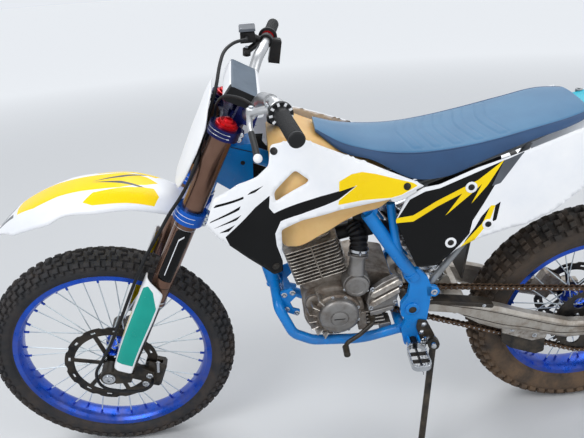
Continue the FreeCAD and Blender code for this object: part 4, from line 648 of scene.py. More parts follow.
def setLight():
    # the lens, gloss and glass see the sky at full strength, and it lights the object at less
    world = bpy.data.worlds.new("studioSky")
    bpy.context.scene.world = world
    world.use_nodes = True
    tree = world.node_tree
    background = tree.nodes["Background"]
    background.inputs["Color"].default_value = linearColour(studio["skyColour"])
    rays = addNode(tree, "ShaderNodeLightPath").outputs
    seen = rays["Is Camera Ray"]
    for kind in ("Is Glossy Ray", "Is Transmission Ray"):
        seen = addNode(tree, "ShaderNodeMath", {"operation": "MAXIMUM"}, {0: seen, 1: rays[kind]}).outputs[0]
    strength = addNode(tree, "ShaderNodeMapRange", {"To Min": studio["sky"], "To Max": 1.0}, {"Value": seen})
    tree.links.new(strength.outputs[0], background.inputs["Strength"])
    for name, place, aim, size, power in studio["lamps"]:
        lamp = bpy.data.lights.new(name, "AREA")
        lamp.size = size
        lamp.energy = power
        lampPiece = bpy.data.objects.new(name, lamp)
        aimed = (Vector(aim) - Vector(place)).to_track_quat("-Z", "Y").to_matrix().to_4x4()
        lampPiece.matrix_world = Matrix.Translation(place) @ aimed
        bpy.context.scene.collection.objects.link(lampPiece)
    bpy.context.scene.view_settings.view_transform = "Standard"


setFloor()
setLight()
print("stage: floor and lamps")


# wheels

wheels = {
    # carcass: distance across and out; lugs: tilt, width, length, height, how many round the tyre, start;
    # rim and hub: distance across and out
    "front": {"body": "front_wheel", "rubber": "tyreRubber", "radius": 345.0, "crown": 50.0,
              "carcass": ((26, 267), (27.5, 279), (34, 284), (40, 294), (41, 306), (36, 317), (28, 326),
                          (15, 332.5), (0, 334)),
              "lugs": ((0, 22, 13, 14, 36, 0.0), (11, 10, 17, 13, 36, 0.5), (31, 13, 18, 11, 72, 0.25),
                       (52, 15, 19, 10, 72, 0.75), (69, 9, 15, 6, 72, 0.25)),
              "rim": ((-30, 277.5), (-28.5, 279), (-27, 278), (-26.5, 267), (-20, 265), (20, 265),
                      (26.5, 267), (27, 278), (28.5, 279), (30, 277.5), (30, 264), (23, 260), (17, 255.5),
                      (7, 254.5), (-7, 254.5), (-17, 255.5), (-23, 260), (-30, 264)),
              "hub": ((-52, 10.4), (-52, 17), (-41, 20), (-36, 20), (-35, 31), (-27, 31), (-26, 22),
                      (-12, 18), (12, 18), (26, 22), (27, 31), (35, 31), (36, 20), (41, 20), (52, 17),
                      (52, 10.4)),
              "flange": 31.0, "spacing": 31.0, "wellRadius": 255.5},
    "rear": {"body": "rear_wheel", "rubber": "rearRubber", "radius": 339.0, "crown": 64.0,
             "carcass": ((32, 232), (33, 246), (43, 254), (50, 268), (52.5, 286), (47, 302), (36, 314),
                         (20, 322), (0, 325)),
             "lugs": ((0, 26, 16, 17, 30, 0.0), (17, 16, 18, 16, 60, 0.5), (37, 17, 20, 14, 60, 0.0),
                      (56, 16, 22, 12, 60, 0.5)),
             "rim": ((-36, 242.5), (-34, 244), (-32.5, 243), (-32, 232), (-25, 230), (25, 230), (32, 232),
                     (32.5, 243), (34, 244), (36, 242.5), (36, 229), (28, 225), (20, 220), (8, 219),
                     (-8, 219), (-20, 220), (-28, 225), (-36, 229)),
             "hub": ((-58, 10.4), (-58, 26), (-44, 28), (-39, 28), (-38, 40), (-30, 40), (-29, 30), (-14, 27),
                     (14, 27), (29, 30), (30, 40), (38, 40), (39, 28), (44, 28), (58, 26), (58, 10.4)),
             "flange": 40.0, "spacing": 34.0, "wellRadius": 220.0},
}


def wheelRing(end, angle, across, out):
    # a place on a wheel from its angle, distance across and distance out from the axle
    centre = np.asarray(stance[end + "Axle"])
    angle, across, out = np.broadcast_arrays(np.asarray(angle, float), np.asarray(across, float),
                                             np.asarray(out, float))
    return centre + np.stack([out * np.cos(angle), across, out * np.sin(angle)], -1)


def makeTyre(end):
    # carcass: the section carried round the axle
    # lugs: rows of chamfered blocks whose tops meet the crown's arc
    wheel = wheels[end]
    half = np.array(wheel["carcass"], float)
    section = np.concatenate([half, half[-2::-1] * (-1, 1)])
    section = smoothRead(np.arange(len(section)), section, np.linspace(0, len(section) - 1, 49))
    sideWall, treadWall = 4, 9
    inner = np.array([(-half[3, 0] + sideWall, half[3, 1]), (0, half[-1, 1] - treadWall),
                      (half[3, 0] - sideWall, half[3, 1])])
    axle = stance[end + "Axle"]
    meshes = [turned(np.concatenate([section, inner]), axle, (0, 1, 0), 128, closed=True)]
    for tilt, width, length, height, count, phase in wheel["lugs"]:
        lug = block(length, width, height, 1.6, 0.86)
        reach = wheel["crown"] - 0.5 - height
        for side in ((1, -1) if tilt else (1,)):
            # beyond 20 degrees the two sides stand half a step apart
            angle = 2 * np.pi * (np.arange(count) + phase + (0.5 if side < 0 and tilt > 20 else 0)) / count
            lean = side * math.radians(tilt)
            out = wheel["radius"] - wheel["crown"] + reach * math.cos(lean)
            origin = wheelRing(end, angle, reach * math.sin(lean), out)
            normal = around(angle, (math.cos(lean), 0, 0), (0, 0, math.cos(lean))) + (0, math.sin(lean), 0)
            forward = around(angle, (0, 0, 1.0), (-1.0, 0, 0))
            meshes.append(copies(lug, origin, normal, forward))
    dressed(end + "TyreLugged", [(mesh, wheel["rubber"]) for mesh in meshes], wheel["body"],
            [end + "_tyre"], 32.0, closed=False)


spokes = {"count": 36, "leadDegrees": 58, "radius": 1.75, "nippleRadius": 3.3, "nippleLength": 16,
          "headRadius": 3.2}


def makeRimAndSpokes(end):
    # spokes cross in pairs: every second one leans forward, and they leave the two flanges in turn
    wheel = wheels[end]
    axle = stance[end + "Axle"]
    rim = turned(wheel["rim"], axle, (0, 1, 0), 144, closed=True)
    addPiece(end + "RimBand", rim, wheel["body"], ["royalAnodised"], replaced=[end + "_rim"])
    k = np.arange(spokes["count"])
    side, lead = np.where(k % 2 == 0, 1, -1), np.where(k % 4 < 2, 1, -1)
    rimAngle = 2 * np.pi * k / spokes["count"]
    hubAngle = rimAngle - lead * math.radians(spokes["leadDegrees"])
    starts = wheelRing(end, hubAngle, side * (wheel["spacing"] + lead * 4.5), wheel["flange"] - 5)
    ends = wheelRing(end, rimAngle, side * 6, wheel["wellRadius"] + 3)
    inward = unit(starts - ends)
    across = np.column_stack([0 * k, lead * side * 2.5, 0 * k])
    parts = [(rods(starts, ends, spokes["radius"], 6), "spokeWire"),
             (rods(ends + inward * spokes["nippleLength"], ends, spokes["nippleRadius"]), "royalAnodised"),
             (rods(starts - across, starts + across, spokes["headRadius"]), "brightSteel")]
    dressed(end + "Spokes", parts, wheel["body"], (), 38.0, closed=False)
    hub = turned(wheel["hub"], axle, (0, 1, 0), 72, closed=True)
    addPiece(end + "HubShell", hub, wheel["body"], ["royalAnodised"], replaced=[end + "_hub"])


for wheelEnd in ("front", "rear"):
    makeTyre(wheelEnd)
    makeRimAndSpokes(wheelEnd)
print("stage: wheels")


# plastics

def onBothSides(ring, coat):
    # a painted field of the blade and the same field across its middle
    return (ring, coat), (tuple((x, -v) for x, v in ring), coat)


panels = {
    "wall": 2.6,
    # station x, then pairs of height and distance out from the middle
    "shroudRows": ((330, (960, 196), (930, 215), (850, 240), (690, 226)),
                   (420, (1006, 140), (945, 196), (820, 226), (690, 214)),
                   (500, (1010, 106), (945, 148), (850, 186), (690, 196)),
                   (620, (1006, 92), (930, 142), (850, 176), (690, 180)),
                   (740, (960, 104), (900, 140), (850, 156), (690, 160)),
                   (865, (935, 104), (880, 128), (850, 140), (690, 146))),
    "shroudEdge": ((494, 998), (486, 961), (458, 949), (415, 948), (358, 927), (337, 873), (357, 842),
                   (396, 799), (476, 699), (498, 703), (502, 816), (553, 832), (640, 845), (781, 849),
                   (849, 867), (819, 885), (721, 933), (610, 982), (568, 1000)),
    "shroudWindow": ((545, 941), (575, 918), (566, 911), (494, 884), (492, 905)),
    "shroudPaint": (
        (((375, 838), (383, 812), (478, 690), (507, 690), (503, 716), (488, 780), (487, 812), (502, 838),
          (548, 846), (639, 869), (683, 892), (600, 882), (521, 866), (488, 860), (478, 876), (482, 902),
          (447, 890), (429, 878)), "blackVinyl"),
        (((644, 907), (675, 918), (700, 919), (734, 910), (821, 878), (832, 870), (791, 855), (766, 852),
          (695, 858), (638, 857), (640, 866), (686, 893), (642, 886)), "yellowVinyl"),
        (((356, 908), (362, 914), (424, 922), (424, 917)), "blackVinyl"),
        (((432, 922), (440, 926), (470, 927), (450, 921)), "blackVinyl"),
        (((343, 876), (348, 880), (416, 904), (412, 896)), "blackVinyl"),
        (((350, 862), (356, 864), (416, 884), (404, 874)), "blackVinyl"),
        (((362, 850), (368, 852), (400, 864), (384, 850)), "blackVinyl"),
    ),
    "sideRows": ((770, (900, 128), (760, 142), (600, 150)), (860, (925, 128), (760, 148), (600, 158)),
                 (960, (960, 128), (780, 150), (600, 162)), (1100, (990, 130), (820, 158), (600, 166)),
                 (1300, (1030, 128), (880, 150), (600, 160))),
    "sideTop": ((780, 779), (806, 838), (846, 862), (885, 867), (972, 902), (1080, 936), (1204, 978),
                (1262, 985)),
    "sideLowLeft": ((1233, 838), (1160, 780), (1092, 749), (1060, 743), (979, 716), (930, 690), (884, 648),
                    (834, 646)),
    "sideLowRight": ((1236, 880), (1160, 828), (1092, 808), (1010, 780), (930, 750), (840, 704)),
    "sidePaint": (
        (((786, 760), (781, 780), (814, 834), (850, 852), (886, 858), (962, 888), (1025, 914), (1080, 934),
          (1065, 918), (1027, 881), (991, 811), (967, 767), (961, 732), (939, 703), (887, 645), (823, 640)),
         "blackVinyl"),
        (((1033, 916), (1080, 936), (1028, 862), (1008, 855)), "greyVinyl"),
        (((780, 787), (822, 792), (877, 825), (948, 859), (942, 842), (879, 811), (823, 776), (780, 774)),
         "yellowVinyl"),
        (((900, 786), (940, 842), (948, 859), (975, 872), (1034, 919), (998, 858), (962, 813), (985, 862),
          (966, 843)), "yellowVinyl"),
        (((952, 714), (974, 749), (987, 777), (1008, 804), (993, 765), (989, 757), (945, 696)), "blackVinyl"),
        (((934, 688), (989, 757), (993, 765), (1008, 806), (1019, 806), (1008, 765), (990, 736), (962, 696)),
         "yellowVinyl"),
        (((1014, 761), (1019, 806), (1031, 815), (1024, 767)), "blackVinyl"),
    ),
    # station x: half width, crown height, edge height
    "fenderRows": ((-211, 42, 776, 764), (-150, 75, 826, 798), (-85, 93, 858, 822), (-50, 98, 870, 832),
                   (-20, 97, 877, 847), (62, 97, 886, 850), (150, 88, 882, 845), (232.8, 74, 850, 816),
                   (291.6, 60, 808.0, 792.0)),
    "fenderPaint": (
        (((-147, 0), (-141, -41), (-92, -50), (-31, -40), (30, -39), (120, -42), (180, -24), (207, 0),
          (180, 24), (120, 42), (30, 39), (-31, 40), (-92, 50), (-141, 41)), "yellowVinyl"),
        *onBothSides(((47, 2), (111, 20), (185, 44), (182, 38), (122, 11)), "greyVinyl"),
        *onBothSides(((35, -76), (58, -50), (199, -34), (212, -62), (201, -88), (58, -84)), "yellowVinyl"),
        *onBothSides(((-204, -30), (-180, -36), (-152, -44), (-156, -20), (-185, -4), (-206, -6)),
                     "greyVinyl"),
    ),
    "fenderEdge": ((-214, -30), (-205, -70), (-150, -100), (292, -100), (292, 100), (-150, 100), (-205, 70),
                   (-214, 30)),
    "tailRows": ((1120, 86, 946, 900), (1204, 90, 978, 920), (1262, 92, 992, 930), (1400, 92, 1012, 966),
                 (1540, 88, 1030, 996), (1640, 70, 1030, 1008)),
    "tailEdge": ((1120, -100), (1600, -100), (1640, -80), (1640, 80), (1600, 100), (1120, 100)),
    "tailPaint": ((((1262, -70), (1275, -104), (1650, -104), (1650, 104), (1275, 104), (1262, 70)),
                   "cyanVinyl"),),
}


def rowSurface(rows, side):
    # p = (x, side*out(x, z), z), where out is smooth along each row and from row to row
    stations = np.array([row[0] for row in rows], float)

    def surface(x, z):
        perRow = np.array([smoothRead(*np.array(sorted(row[1:]), float).T, z) for row in rows])
        slopes = np.gradient(perRow, stations, axis=0)
        k = np.clip(np.searchsorted(stations, x) - 1, 0, len(stations) - 2)
        width, point = stations[k + 1] - stations[k], np.arange(len(x))
        out = cubicBetween((x - stations[k]) / width, width, perRow[k, point], perRow[k + 1, point],
                           slopes[k, point], slopes[k + 1, point])
        return np.stack([x, side * out, z], -1)
    return surface


def bladeSurface(rows, power=3.0):
    # p = (x, half*w, crown - (crown - edge)*|w|^power), w from -1 to 1 as v/100
    table = np.array(rows, float)

    def surface(x, v):
        half, crown, edge = smoothRead(table[:, 0], table[:, 1:], x).T
        w = v / 100
        return np.stack([x, half * w, crown - (crown - edge) * np.abs(w) ** power], -1)
    return surface


def paintedPanel(name, outline, surface, paint, body, replaced, windows=(), side=1):
    # a white moulding whose printed fields are regions of its mesh
    names = ["whitePlastic"] + sorted({material for ring, material in paint})
    regions = [(softOutline(ring, 2.0), names.index(material)) for ring, material in paint]
    mesh, numbers = cutPanel(softOutline(outline, 6.0), surface, regions,
                             [softOutline(ring) for ring in windows])
    if side > 0:
        mesh = (mesh[0], [face[::-1] for face in mesh[1]])
    addPiece(name, mesh, body, names, numbers=numbers, replaced=[replaced],
             wall=panels["wall"], sharpDegrees=60, closed=False)


for sideName, side in (("Left", -1), ("Right", 1)):
    paintedPanel("shroud" + sideName, panels["shroudEdge"], rowSurface(panels["shroudRows"], side),
                 panels["shroudPaint"], "chassis", "shroud_" + sideName.lower(), [panels["shroudWindow"]],
                 side)
    paintedPanel("sidePanel" + sideName, panels["sideTop"] + panels["sideLow" + sideName],
                 rowSurface(panels["sideRows"], side), panels["sidePaint"], "chassis",
                 "side_panel_" + sideName.lower(), (), side)
paintedPanel("frontFenderBlade", panels["fenderEdge"], bladeSurface(panels["fenderRows"]),
             panels["fenderPaint"], "fork", "front_fender")
paintedPanel("rearFenderBlade", panels["tailEdge"], bladeSurface(panels["tailRows"], 5.0),
             panels["tailPaint"], "chassis", "rear_fender")
print("stage: plastics")


# seat

seatShape = {
    # station x: low height, low half width, edge height, edge half width, crown height
    "rows": ((604, 986, 40, 994, 40, 998), (660, 948, 78, 966, 66, 978), (728, 930, 100, 948, 84, 958),
             (830, 880, 122, 938, 100, 952), (900, 880, 124, 942, 106, 952), (1000, 918, 124, 956, 110, 964),
             (1100, 954, 122, 976, 108, 984), (1204, 984, 116, 996, 100, 1004),
             (1252, 992, 92, 1000, 80, 1006)),
    "bands": ((806, 831), (854, 877), (901, 925), (952, 977), (1008, 1033)), "bandSlant": 24.0,
    "bandReach": 0.86, "bandRise": 0.9, "stitchWidth": 2.2, "stitchDepth": 1.6, "crownPower": 2.6,
    "sideBulge": 3.0, "seamDepth": 1.2,
}


def makeSeat():
    # half section: w from 0 at the middle to 1 at the edge on top, z = crown - (crown - edge)*w^crownPower;
    # then down the side with a bulge, z from edge to low; a groove marks each stitched line
    table = np.array(seatShape["rows"], float)
    x = np.arange(table[0, 0], table[-1, 0] + 1, 2.5)
    low, lowHalf, edge, edgeHalf, crown = smoothRead(table[:, 0], table[:, 1:], x).T[:, :, None]
    top, side = np.linspace(0, 1, 26)[None, :], np.linspace(0, 1, 18)[None, 1:]
    xs = x[:, None]
    topY, topZ = edgeHalf * top, crown - (crown - edge) * top ** seatShape["crownPower"]
    reach, width, depth = seatShape["bandReach"], seatShape["stitchWidth"], seatShape["stitchDepth"]
    slant = seatShape["bandSlant"] * (top / reach) ** 1.6
    inBand = top < reach
    foot = np.exp(-((top - reach) * edgeHalf / width) ** 2)
    for start, end in seatShape["bands"]:
        for line in (start, end):
            topZ = topZ - depth * np.exp(-((xs - line - slant) / width) ** 2) * inBand
        across = (xs > start + seatShape["bandSlant"]) & (xs < end + seatShape["bandSlant"])
        topZ = topZ - depth * foot * across
        rise = seatShape["bandRise"] * inBand
        topZ = topZ + rise / (1 + np.exp(-(xs - start - slant) / 2)) / (1 + np.exp((xs - end - slant) / 2))
    sideY = edgeHalf + (lowHalf - edgeHalf) * side + seatShape["sideBulge"] * np.sin(np.pi * side)
    sideZ = edge + (low - edge) * side
    halfY, halfZ = np.concatenate([topY, sideY], 1), np.concatenate([topZ, sideZ], 1)
    seam = top.shape[1] - 1
    halfZ[:, seam] -= seatShape["seamDepth"]
    halfY[:, seam] -= seatShape["seamDepth"]
    y = np.concatenate([halfY, -halfY[:, :0:-1]], 1)
    z = np.concatenate([halfZ, halfZ[:, :0:-1]], 1)
    order = np.concatenate([np.arange(halfY.shape[1], y.shape[1]), np.arange(halfY.shape[1])])
    points = np.stack([np.broadcast_to(xs, y.shape), y, z], -1)[:, order]
    mesh = surfaceOf(points, closedColumns=True, caps=True)
    columns = points.shape[1]
    column = np.concatenate([np.tile(np.arange(columns), points.shape[0] - 1), [0, 0]])
    sideCount = halfY.shape[1] - top.shape[1]
    isTop = (column >= sideCount) & (column < columns - sideCount - 1)
    cushion = addPiece("seatCushion", mesh, "chassis", ["seatSide", "seatTop"],
                       numbers=isTop.astype(int).tolist(), replaced=["seat"], sharpDegrees=50)


makeSeat()
print("stage: seat")


# tank, plate and guards

tankShape = {
    # station x: top height, top half width, middle half width and height, low half width and height,
    # tunnel roof
    "rows": ((489, 989, 58, 115, 926, 137, 786, 946), (506, 998, 70, 128, 920, 156, 747, 937),
             (524, 1003, 78, 137, 915, 165, 745, 929), (600, 983, 72, 137, 900, 157, 766, 892),
             (660, 953, 64, 130, 888, 150, 796, 860), (700, 931, 58, 124, 880, 140, 806, 850),
             (744, 906, 50, 114, 870, 132, 812, 843), (772, 882, 44, 104, 858, 121, 824, 842)),
    "tunnel": 46.5, "shroudWall": 4.0,
    "capPlace": (522.2, 0, 1010.4), "capAxis": (-0.08, 0, 1), "capRadius": 31.0, "capHeight": 15.0,
    "capRibs": 24,
}


def sectionRows(*pairs):
    # a section's corners, each with its width and height at every station
    return np.array([np.column_stack(np.broadcast_arrays(width, height)) for width, height in pairs])


def makeTank():
    # each section: a rounded shoulder through top, middle and low widths, then the tunnel over the frame
    table = np.array(tankShape["rows"], float)
    x = np.linspace(table[0, 0], table[-1, 0], 90)
    top, topHalf, midHalf, mid, lowHalf, low, roof = smoothRead(table[:, 0], table[:, 1:], x).T
    tunnel = np.full(len(x), tankShape["tunnel"])
    corners = sectionRows((0 * top, top), (topHalf * 0.6, top - 1.5), (topHalf, top - 8), (midHalf, mid),
                          (lowHalf, 0.45 * mid + 0.55 * low), (lowHalf - 2, 0.3 * mid + 0.7 * low))
    shoulder = smoothRead((0, 0.6, 1, 2, 3.2, 3.4), corners, np.linspace(0, 3.4, 44))
    under = sectionRows((lowHalf - 3, low + 6), (lowHalf - 9, low), (tunnel, low), (tunnel, roof),
                        (0 * roof, roof))
    half = np.concatenate([shoulder, under])
    # the shell keeps inside the shrouds
    reach = rowSurface(panels["shroudRows"], 1)
    for row in half:
        row[:, 0] = np.minimum(row[:, 0], reach(x, row[:, 1])[:, 1] - tankShape["shroudWall"])
    half = np.moveaxis(half, 0, 1)
    ring = np.concatenate([half, (half * (-1, 1))[:, -2:0:-1]], 1)
    points = np.concatenate([np.broadcast_to(x[:, None, None], ring.shape[:2] + (1,)), ring], -1)
    addPiece("tankShell", surfaceOf(points, closedColumns=True, caps=True), "chassis",
             ["tankPlastic"], replaced=["fuel_tank"], sharpDegrees=40)


def makeCap():
    # a stepped lid with grip ribs round it
    centre, axis = tankShape["capPlace"], tankShape["capAxis"]
    radius, height = tankShape["capRadius"], tankShape["capHeight"]
    profile = ((0, radius - 3), (0, radius - 1), (2, radius - 1), (2.5, radius - 2.5),
               (height - 4, radius - 3.5), (height - 1, radius - 6), (height, radius - 10),
               (height - 1.5, radius - 13), (height - 1.5, 0))
    out = around(fullTurn(tankShape["capRibs"]), (1, 0, -axis[0]), (0, 1, 0))
    ribs = copies(block(5, 4, height - 4, 0.8), np.asarray(centre) + out * (radius - 4), axis, out)
    dressed("fillerCap", [(turned(profile, centre, axis, 72), "blackPlastic"), (ribs, "blackPlastic")],
            "chassis", ["fuel_cap"], 38.0, closed=False)


plate = {
    # distance up the steering axis: half width, reach at the middle, reach at the edge
    "rows": ((958, 76, 78, 66), (1000, 96, 79, 63), (1050, 108, 80, 62), (1130, 112, 80, 62),
             (1180, 92, 80, 68), (1208, 60, 78, 72)),
    "outline": ((958, -97), (1150, -98), (1208, -80), (1208, 80), (1150, 98), (958, 97)), "wall": 2.6,
    "padFoot": 1055, "padHalf": 78.0,
}


def makePlate():
    table = np.array(plate["rows"], float)

    def surface(s, v):
        # reach = middle - (middle - edge)*|w|^4, w from -1 to 1 across
        half, middle, edge = smoothRead(table[:, 0], table[:, 1:], s).T
        w = v / 100
        return steer(s, middle - (middle - edge) * np.abs(w) ** 4, half * w)
    mesh = cutPanel(softOutline(plate["outline"], 12.0), surface)[0]
    addPiece("numberPlate", mesh, "fork", ["whitePlastic"], replaced=["front_plate"],
             wall=plate["wall"], closed=False)
    # rubber pads that carry the plate on the tubes
    spots = [steer(plate["padFoot"], stance["forkOffset"], side * plate["padHalf"]) for side in (-1, 1)]
    addPiece("platePads", copies(block(28, 15, 42, 2.5), spots, forkAhead, forkUp), "fork",
             ["softRubber"])


guard = {
    # distance up the steering axis: reach from the tube's middle to the front, outward and to the back
    "rows": ((402, 36, 30, -22), (470, 41, 33, -20), (640, 44, 34, -22), (742, 44, 36, -14)), "wall": 3.0,
    "bend": 15.0, "bendRun": 12.0, "sideRun": 21.0,
    "outline": ((402, -22), (712, -22), (722, 4), (712, 14), (690, 29), (402, 29)),
    "panelSide": ((430, 4), (690, 4), (704, 10), (688, 18), (640, 27), (430, 27)),
    "panelFront": ((500, -17), (590, -17), (590, -3), (500, -3)),
}


def makeGuards():
    # a section runs round the front and the outer side: a quarter ellipse between two straight runs
    table = np.array(guard["rows"], float)
    bend, bendRun = guard["bend"], guard["bendRun"]
    for sideName, side, paint, replaced in (("Left", -1, "tealVinyl", ["fork_guards"]),
                                            ("Right", 1, "yellowVinyl", [])):
        def surface(s, v, side=side):
            front, out, back = smoothRead(table[:, 0], table[:, 1:], s).T
            turn = np.clip(v / bendRun, 0, 1) * np.pi / 2
            straight = front - bend - (v - bendRun) / guard["sideRun"] * (front - bend - back)
            forward = np.where(v < 0, front,
                               np.where(v > bendRun, straight, front - bend + bend * np.cos(turn)))
            outward = out - bend + np.where(v < 0, v * 1.5, bend * np.sin(turn))
            return steer(s, stance["forkOffset"] + forward, side * (stance["legSpacing"] + outward))
        regions = [(softOutline(guard["panelSide"], 3.0, 5.0), 1),
                   (softOutline(guard["panelFront"], 2.0, 5.0), 2)]
        mesh, numbers = cutPanel(softOutline(guard["outline"], 6.0), surface, regions, (), 4.0)
        if side < 0:
            mesh = (mesh[0], [face[::-1] for face in mesh[1]])
        addPiece("forkGuard" + sideName, mesh, "fork",
                 ["whitePlastic", paint, "yellowVinyl"], numbers=numbers, replaced=replaced,
                 wall=guard["wall"], closed=False)


makeTank()
makeCap()
makePlate()
makeGuards()
print("stage: tank, plate and guards")


# handlebar and its controls

bar = {"points": ((449.9, 82, 1054.8), (483.9, 142, 1120.8), (505.9, 204, 1134.8), (537.9, 400, 1132.8)),
       "radius": 11.0, "gripRadius": 16.5, "gripLength": 125.0, "gripRibs": 25, "ribPitch": 4.0,
       "clampEnd": 252.0}

lever = {
    # each place: distance inward from the clamp's outer face, rearward and up
    "arm": ((14, -14, -2), (24, -30, -8), (36, -46, -16)),
    "blade": ((52, -45, -15), (34, -53, -22), (14, -58, -33), (-16, -60.5, -39), (-50, -62.5, -44),
              (-98, -66, -52)),
    "ball": (-102, -66, -52), "ballRadius": 9, "sleeveFrom": 0.46, "pivot": (40, -49, -18),
    "pivotAxis": (0.1, 0, 1), "clampWidth": 22,
}


def alongBar(side, inward, dx, dz):
    # a place beside the bar's outer stretch, by its distance inward from the lever clamp's outer face
    start, end = np.array(bar["points"][2], float), np.array(bar["points"][3], float)
    y = bar["clampEnd"] - inward
    base = start + (end - start) * (y - start[1]) / (end[1] - start[1])
    return np.array((base[0] + dx, side * y, base[2] + dz))


def makeGrips():
    # ribbed sleeve: radius falls by a millimetre between the ribs; the flange has a raised rim
    radius, length = bar["gripRadius"], bar["gripLength"]
    profile = [(-2.8, 0), (-2.8, radius - 4), (-1.5, radius - 1.5), (0, radius - 0.3), (5, radius - 0.3)]
    for base in 8 + bar["ribPitch"] * np.arange(bar["gripRibs"]):
        profile += [(base, radius - 1.3), (base + 1, radius - 0.2), (base + 2.6, radius - 0.2),
                    (base + 3.4, radius - 1.3)]
    profile += [(length - 10, radius), (length, radius + 1), (length, radius + 8.5),
                (length + 3, radius + 8.9), (length + 8, radius + 8.5), (length + 8.8, radius + 6),
                (length + 8.8, bar["radius"] + 0.3)]
    for sideName, side, dots, replaced in (("Left", -1, "whitePlastic", ["grips"]),
                                           ("Right", 1, "softRubber", [])):
        end, inner = np.array(bar["points"][3]) * (1, side, 1), np.array(bar["points"][2]) * (1, side, 1)
        axis = unit(inner - end)
        out = around(fullTurn(9) + 0.3, *squareTo(axis, (0, 0, 1.0)))
        patches = copies(block(7, 5, 0.5, 0.1), end + axis * (length - 0.3) + out * (radius + 4.6), -axis,
                         out)
        dressed("grip" + sideName, [(turned(profile, end, axis, 48), "softRubber"), (patches, dots)], "fork",
                replaced, 38.0, closed=False)


def makeLevers():
    # the blade is a flattened sweep, the outer half under a rubber sleeve; its ball is a sphere of revolution
    upward, ahead = (0, 0, 1), (1, 0, 0)
    ball = lever["ballRadius"] * around(np.linspace(math.pi, 0, 13), (1.0, 0), (0, 1.0))
    for sideName, side, metal, tip, slot in (("clutch", -1, "brushedAlloy", "whitePlastic", "brushed_alloy"),
                                             ("brake", 1, "blackPaint", "blackPaint", "black_plastic")):
        def at(inward, dx, dz, side=side):
            return alongBar(side, inward, dx, dz)
        width = lever["clampWidth"]
        axis = unit(at(0, 0, 0) - at(width, 0, 0))
        clamp = ((0, 11.3), (0, 16.5), (1.5, 18), (width - 1.5, 18), (width, 16.5), (width, 11.3))
        route = curveThrough([at(*place) for place in lever["blade"]], 3.0)
        girth = np.interp(np.arange(len(route)), (0, 8, len(route) - 1), (8.2, 6.4, 5.2))
        covered = route[int(len(route) * lever["sleeveFrom"]):-2]
        pivot, end = at(*lever["pivot"]), at(*lever["ball"])
        parts = [(turned(clamp, at(width, 0, 0), axis, 40, closed=True), metal),
                 (swept(curveThrough([at(*place) for place in lever["arm"]], 3.0), 10, 14, upward, 0.8),
                  metal),
                 (swept(route, girth, 16, upward, 0.72), metal),
                 (swept(covered, 6.6, 18, upward, 0.86), "softRubber"),
                 (turned(ball, end, end - at(*lever["blade"][-2]), 24), tip),
                 (turned(((-11, 0), (-11, 7), (-9, 10.5), (9, 10.5), (11, 7), (11, 0)), pivot,
                         lever["pivotAxis"], 28), metal),
                 (copies(hexBolt(5, 4), pivot + (1.1, 0, 11), lever["pivotAxis"]), "brightSteel"),
                 (copies(hexBolt(4, 4), [at(6, -19, 6), at(17, -19, 6)], (-0.9, 0, 0.45)), "brightSteel")]
        if side < 0:
            # the cable's adjuster
            screw = ((0, 0), (0, 5), (4, 7), (12, 7), (14, 5), (26, 5), (28, 4.2), (28, 0))
            parts.append((turned(screw, at(58, -40, -16) - (0, 28, 0), (0, 1, 0), 24), metal))
        else:
            # fluid tank with its lid, neck and screws, then the ring by the grip and the switch box
            middle = at(46, -62, 6) + (20, 28, 0)
            parts += [(copies(block(40, 56, 30, 4, 0.94), middle, upward, ahead), "blackPaint"),
                      (copies(block(43, 59, 6, 2, 0.96), middle + (0, 0, 29.5), upward, ahead), "greyVinyl"),
                      (swept([at(16, -17, 5), at(16, -26, 9), at(16, -34, 14)], 9, 18), "blackPaint"),
                      (copies(hexBolt(2.6, 1.6), middle + ((-14, -22, 35.2), (14, 22, 35.2)), upward),
                       "brightSteel"),
                      (collar(0, 7, 11.5, 17.6, at(-9, 0, 0), axis, 36), "redAnodised"),
                      (copies(block(30, 32, 62, 4, 0.9), at(4, 14, -60), (0.2, 0, 1), (1, 0, -0.2)),
                       "blackPlastic")]
        dressed(sideName + "Control", parts, "fork", [sideName + "_lever"], 38.0, closed=False)


barPad = {
    # outline up the steering axis and ahead of it
    "outline": ((1216.6, -33), (1252, -29), (1256, 46), (1216.6, 53)), "rounding": 7.0, "half": 99.0,
    "endPull": 0.06, "top": 1256.0, "edgeFront": 44, "edgeStrip": -21, "edgeBack": -27,
}


def makeBarPad():
    # a wedge of foam in a sewn cover: rounded section carried across, its ends pulled in like a pillow
    ring = softOutline(barPad["outline"], barPad["rounding"], 3.0)
    centre, half = ring.mean(0), barPad["half"]
    across = half * np.sin(np.linspace(-np.pi / 2, np.pi / 2, 41))
    share = 1 - barPad["endPull"] * (np.abs(across) / half) ** 10
    place = centre + (ring - centre) * share[:, None, None]
    points = steer(place[..., 0], place[..., 1], across[:, None])
    mesh = surfaceOf(points, closedColumns=True, caps=True)
    # material of each face from its place: slate top, white ends of the front and back faces, black rest
    rows, columns = points.shape[:2]
    column = np.concatenate([np.tile(np.arange(columns), rows - 1), [0, 0]])
    row = np.concatenate([np.repeat(np.arange(rows - 1), columns), [0, rows]])
    (s, n), y = ring[column].T, np.abs(np.append(across, half)[np.minimum(row, rows - 1)])
    top, front, strip, back = (barPad[key] for key in ("top", "edgeFront", "edgeStrip", "edgeBack"))
    isTop = (s > top - 7) & (n > strip) & (n < front)
    isStrip = (s > top - 11) & (n <= strip) & (n > strip - 11) & (y < half - 5)
    isPrinted = ((n > front) | (n < back)) & (y < half - 12)
    numbers = np.where(isTop, 1, np.where(isPrinted | isStrip, 2, 0))
    numbers[-2:] = 0
    pad = addPiece("barPadCover", mesh, "fork", ["blackCover", "slateCover", "whitePlastic"],
                   numbers=numbers.tolist(), replaced=["bar_pad"], sharpDegrees=50)


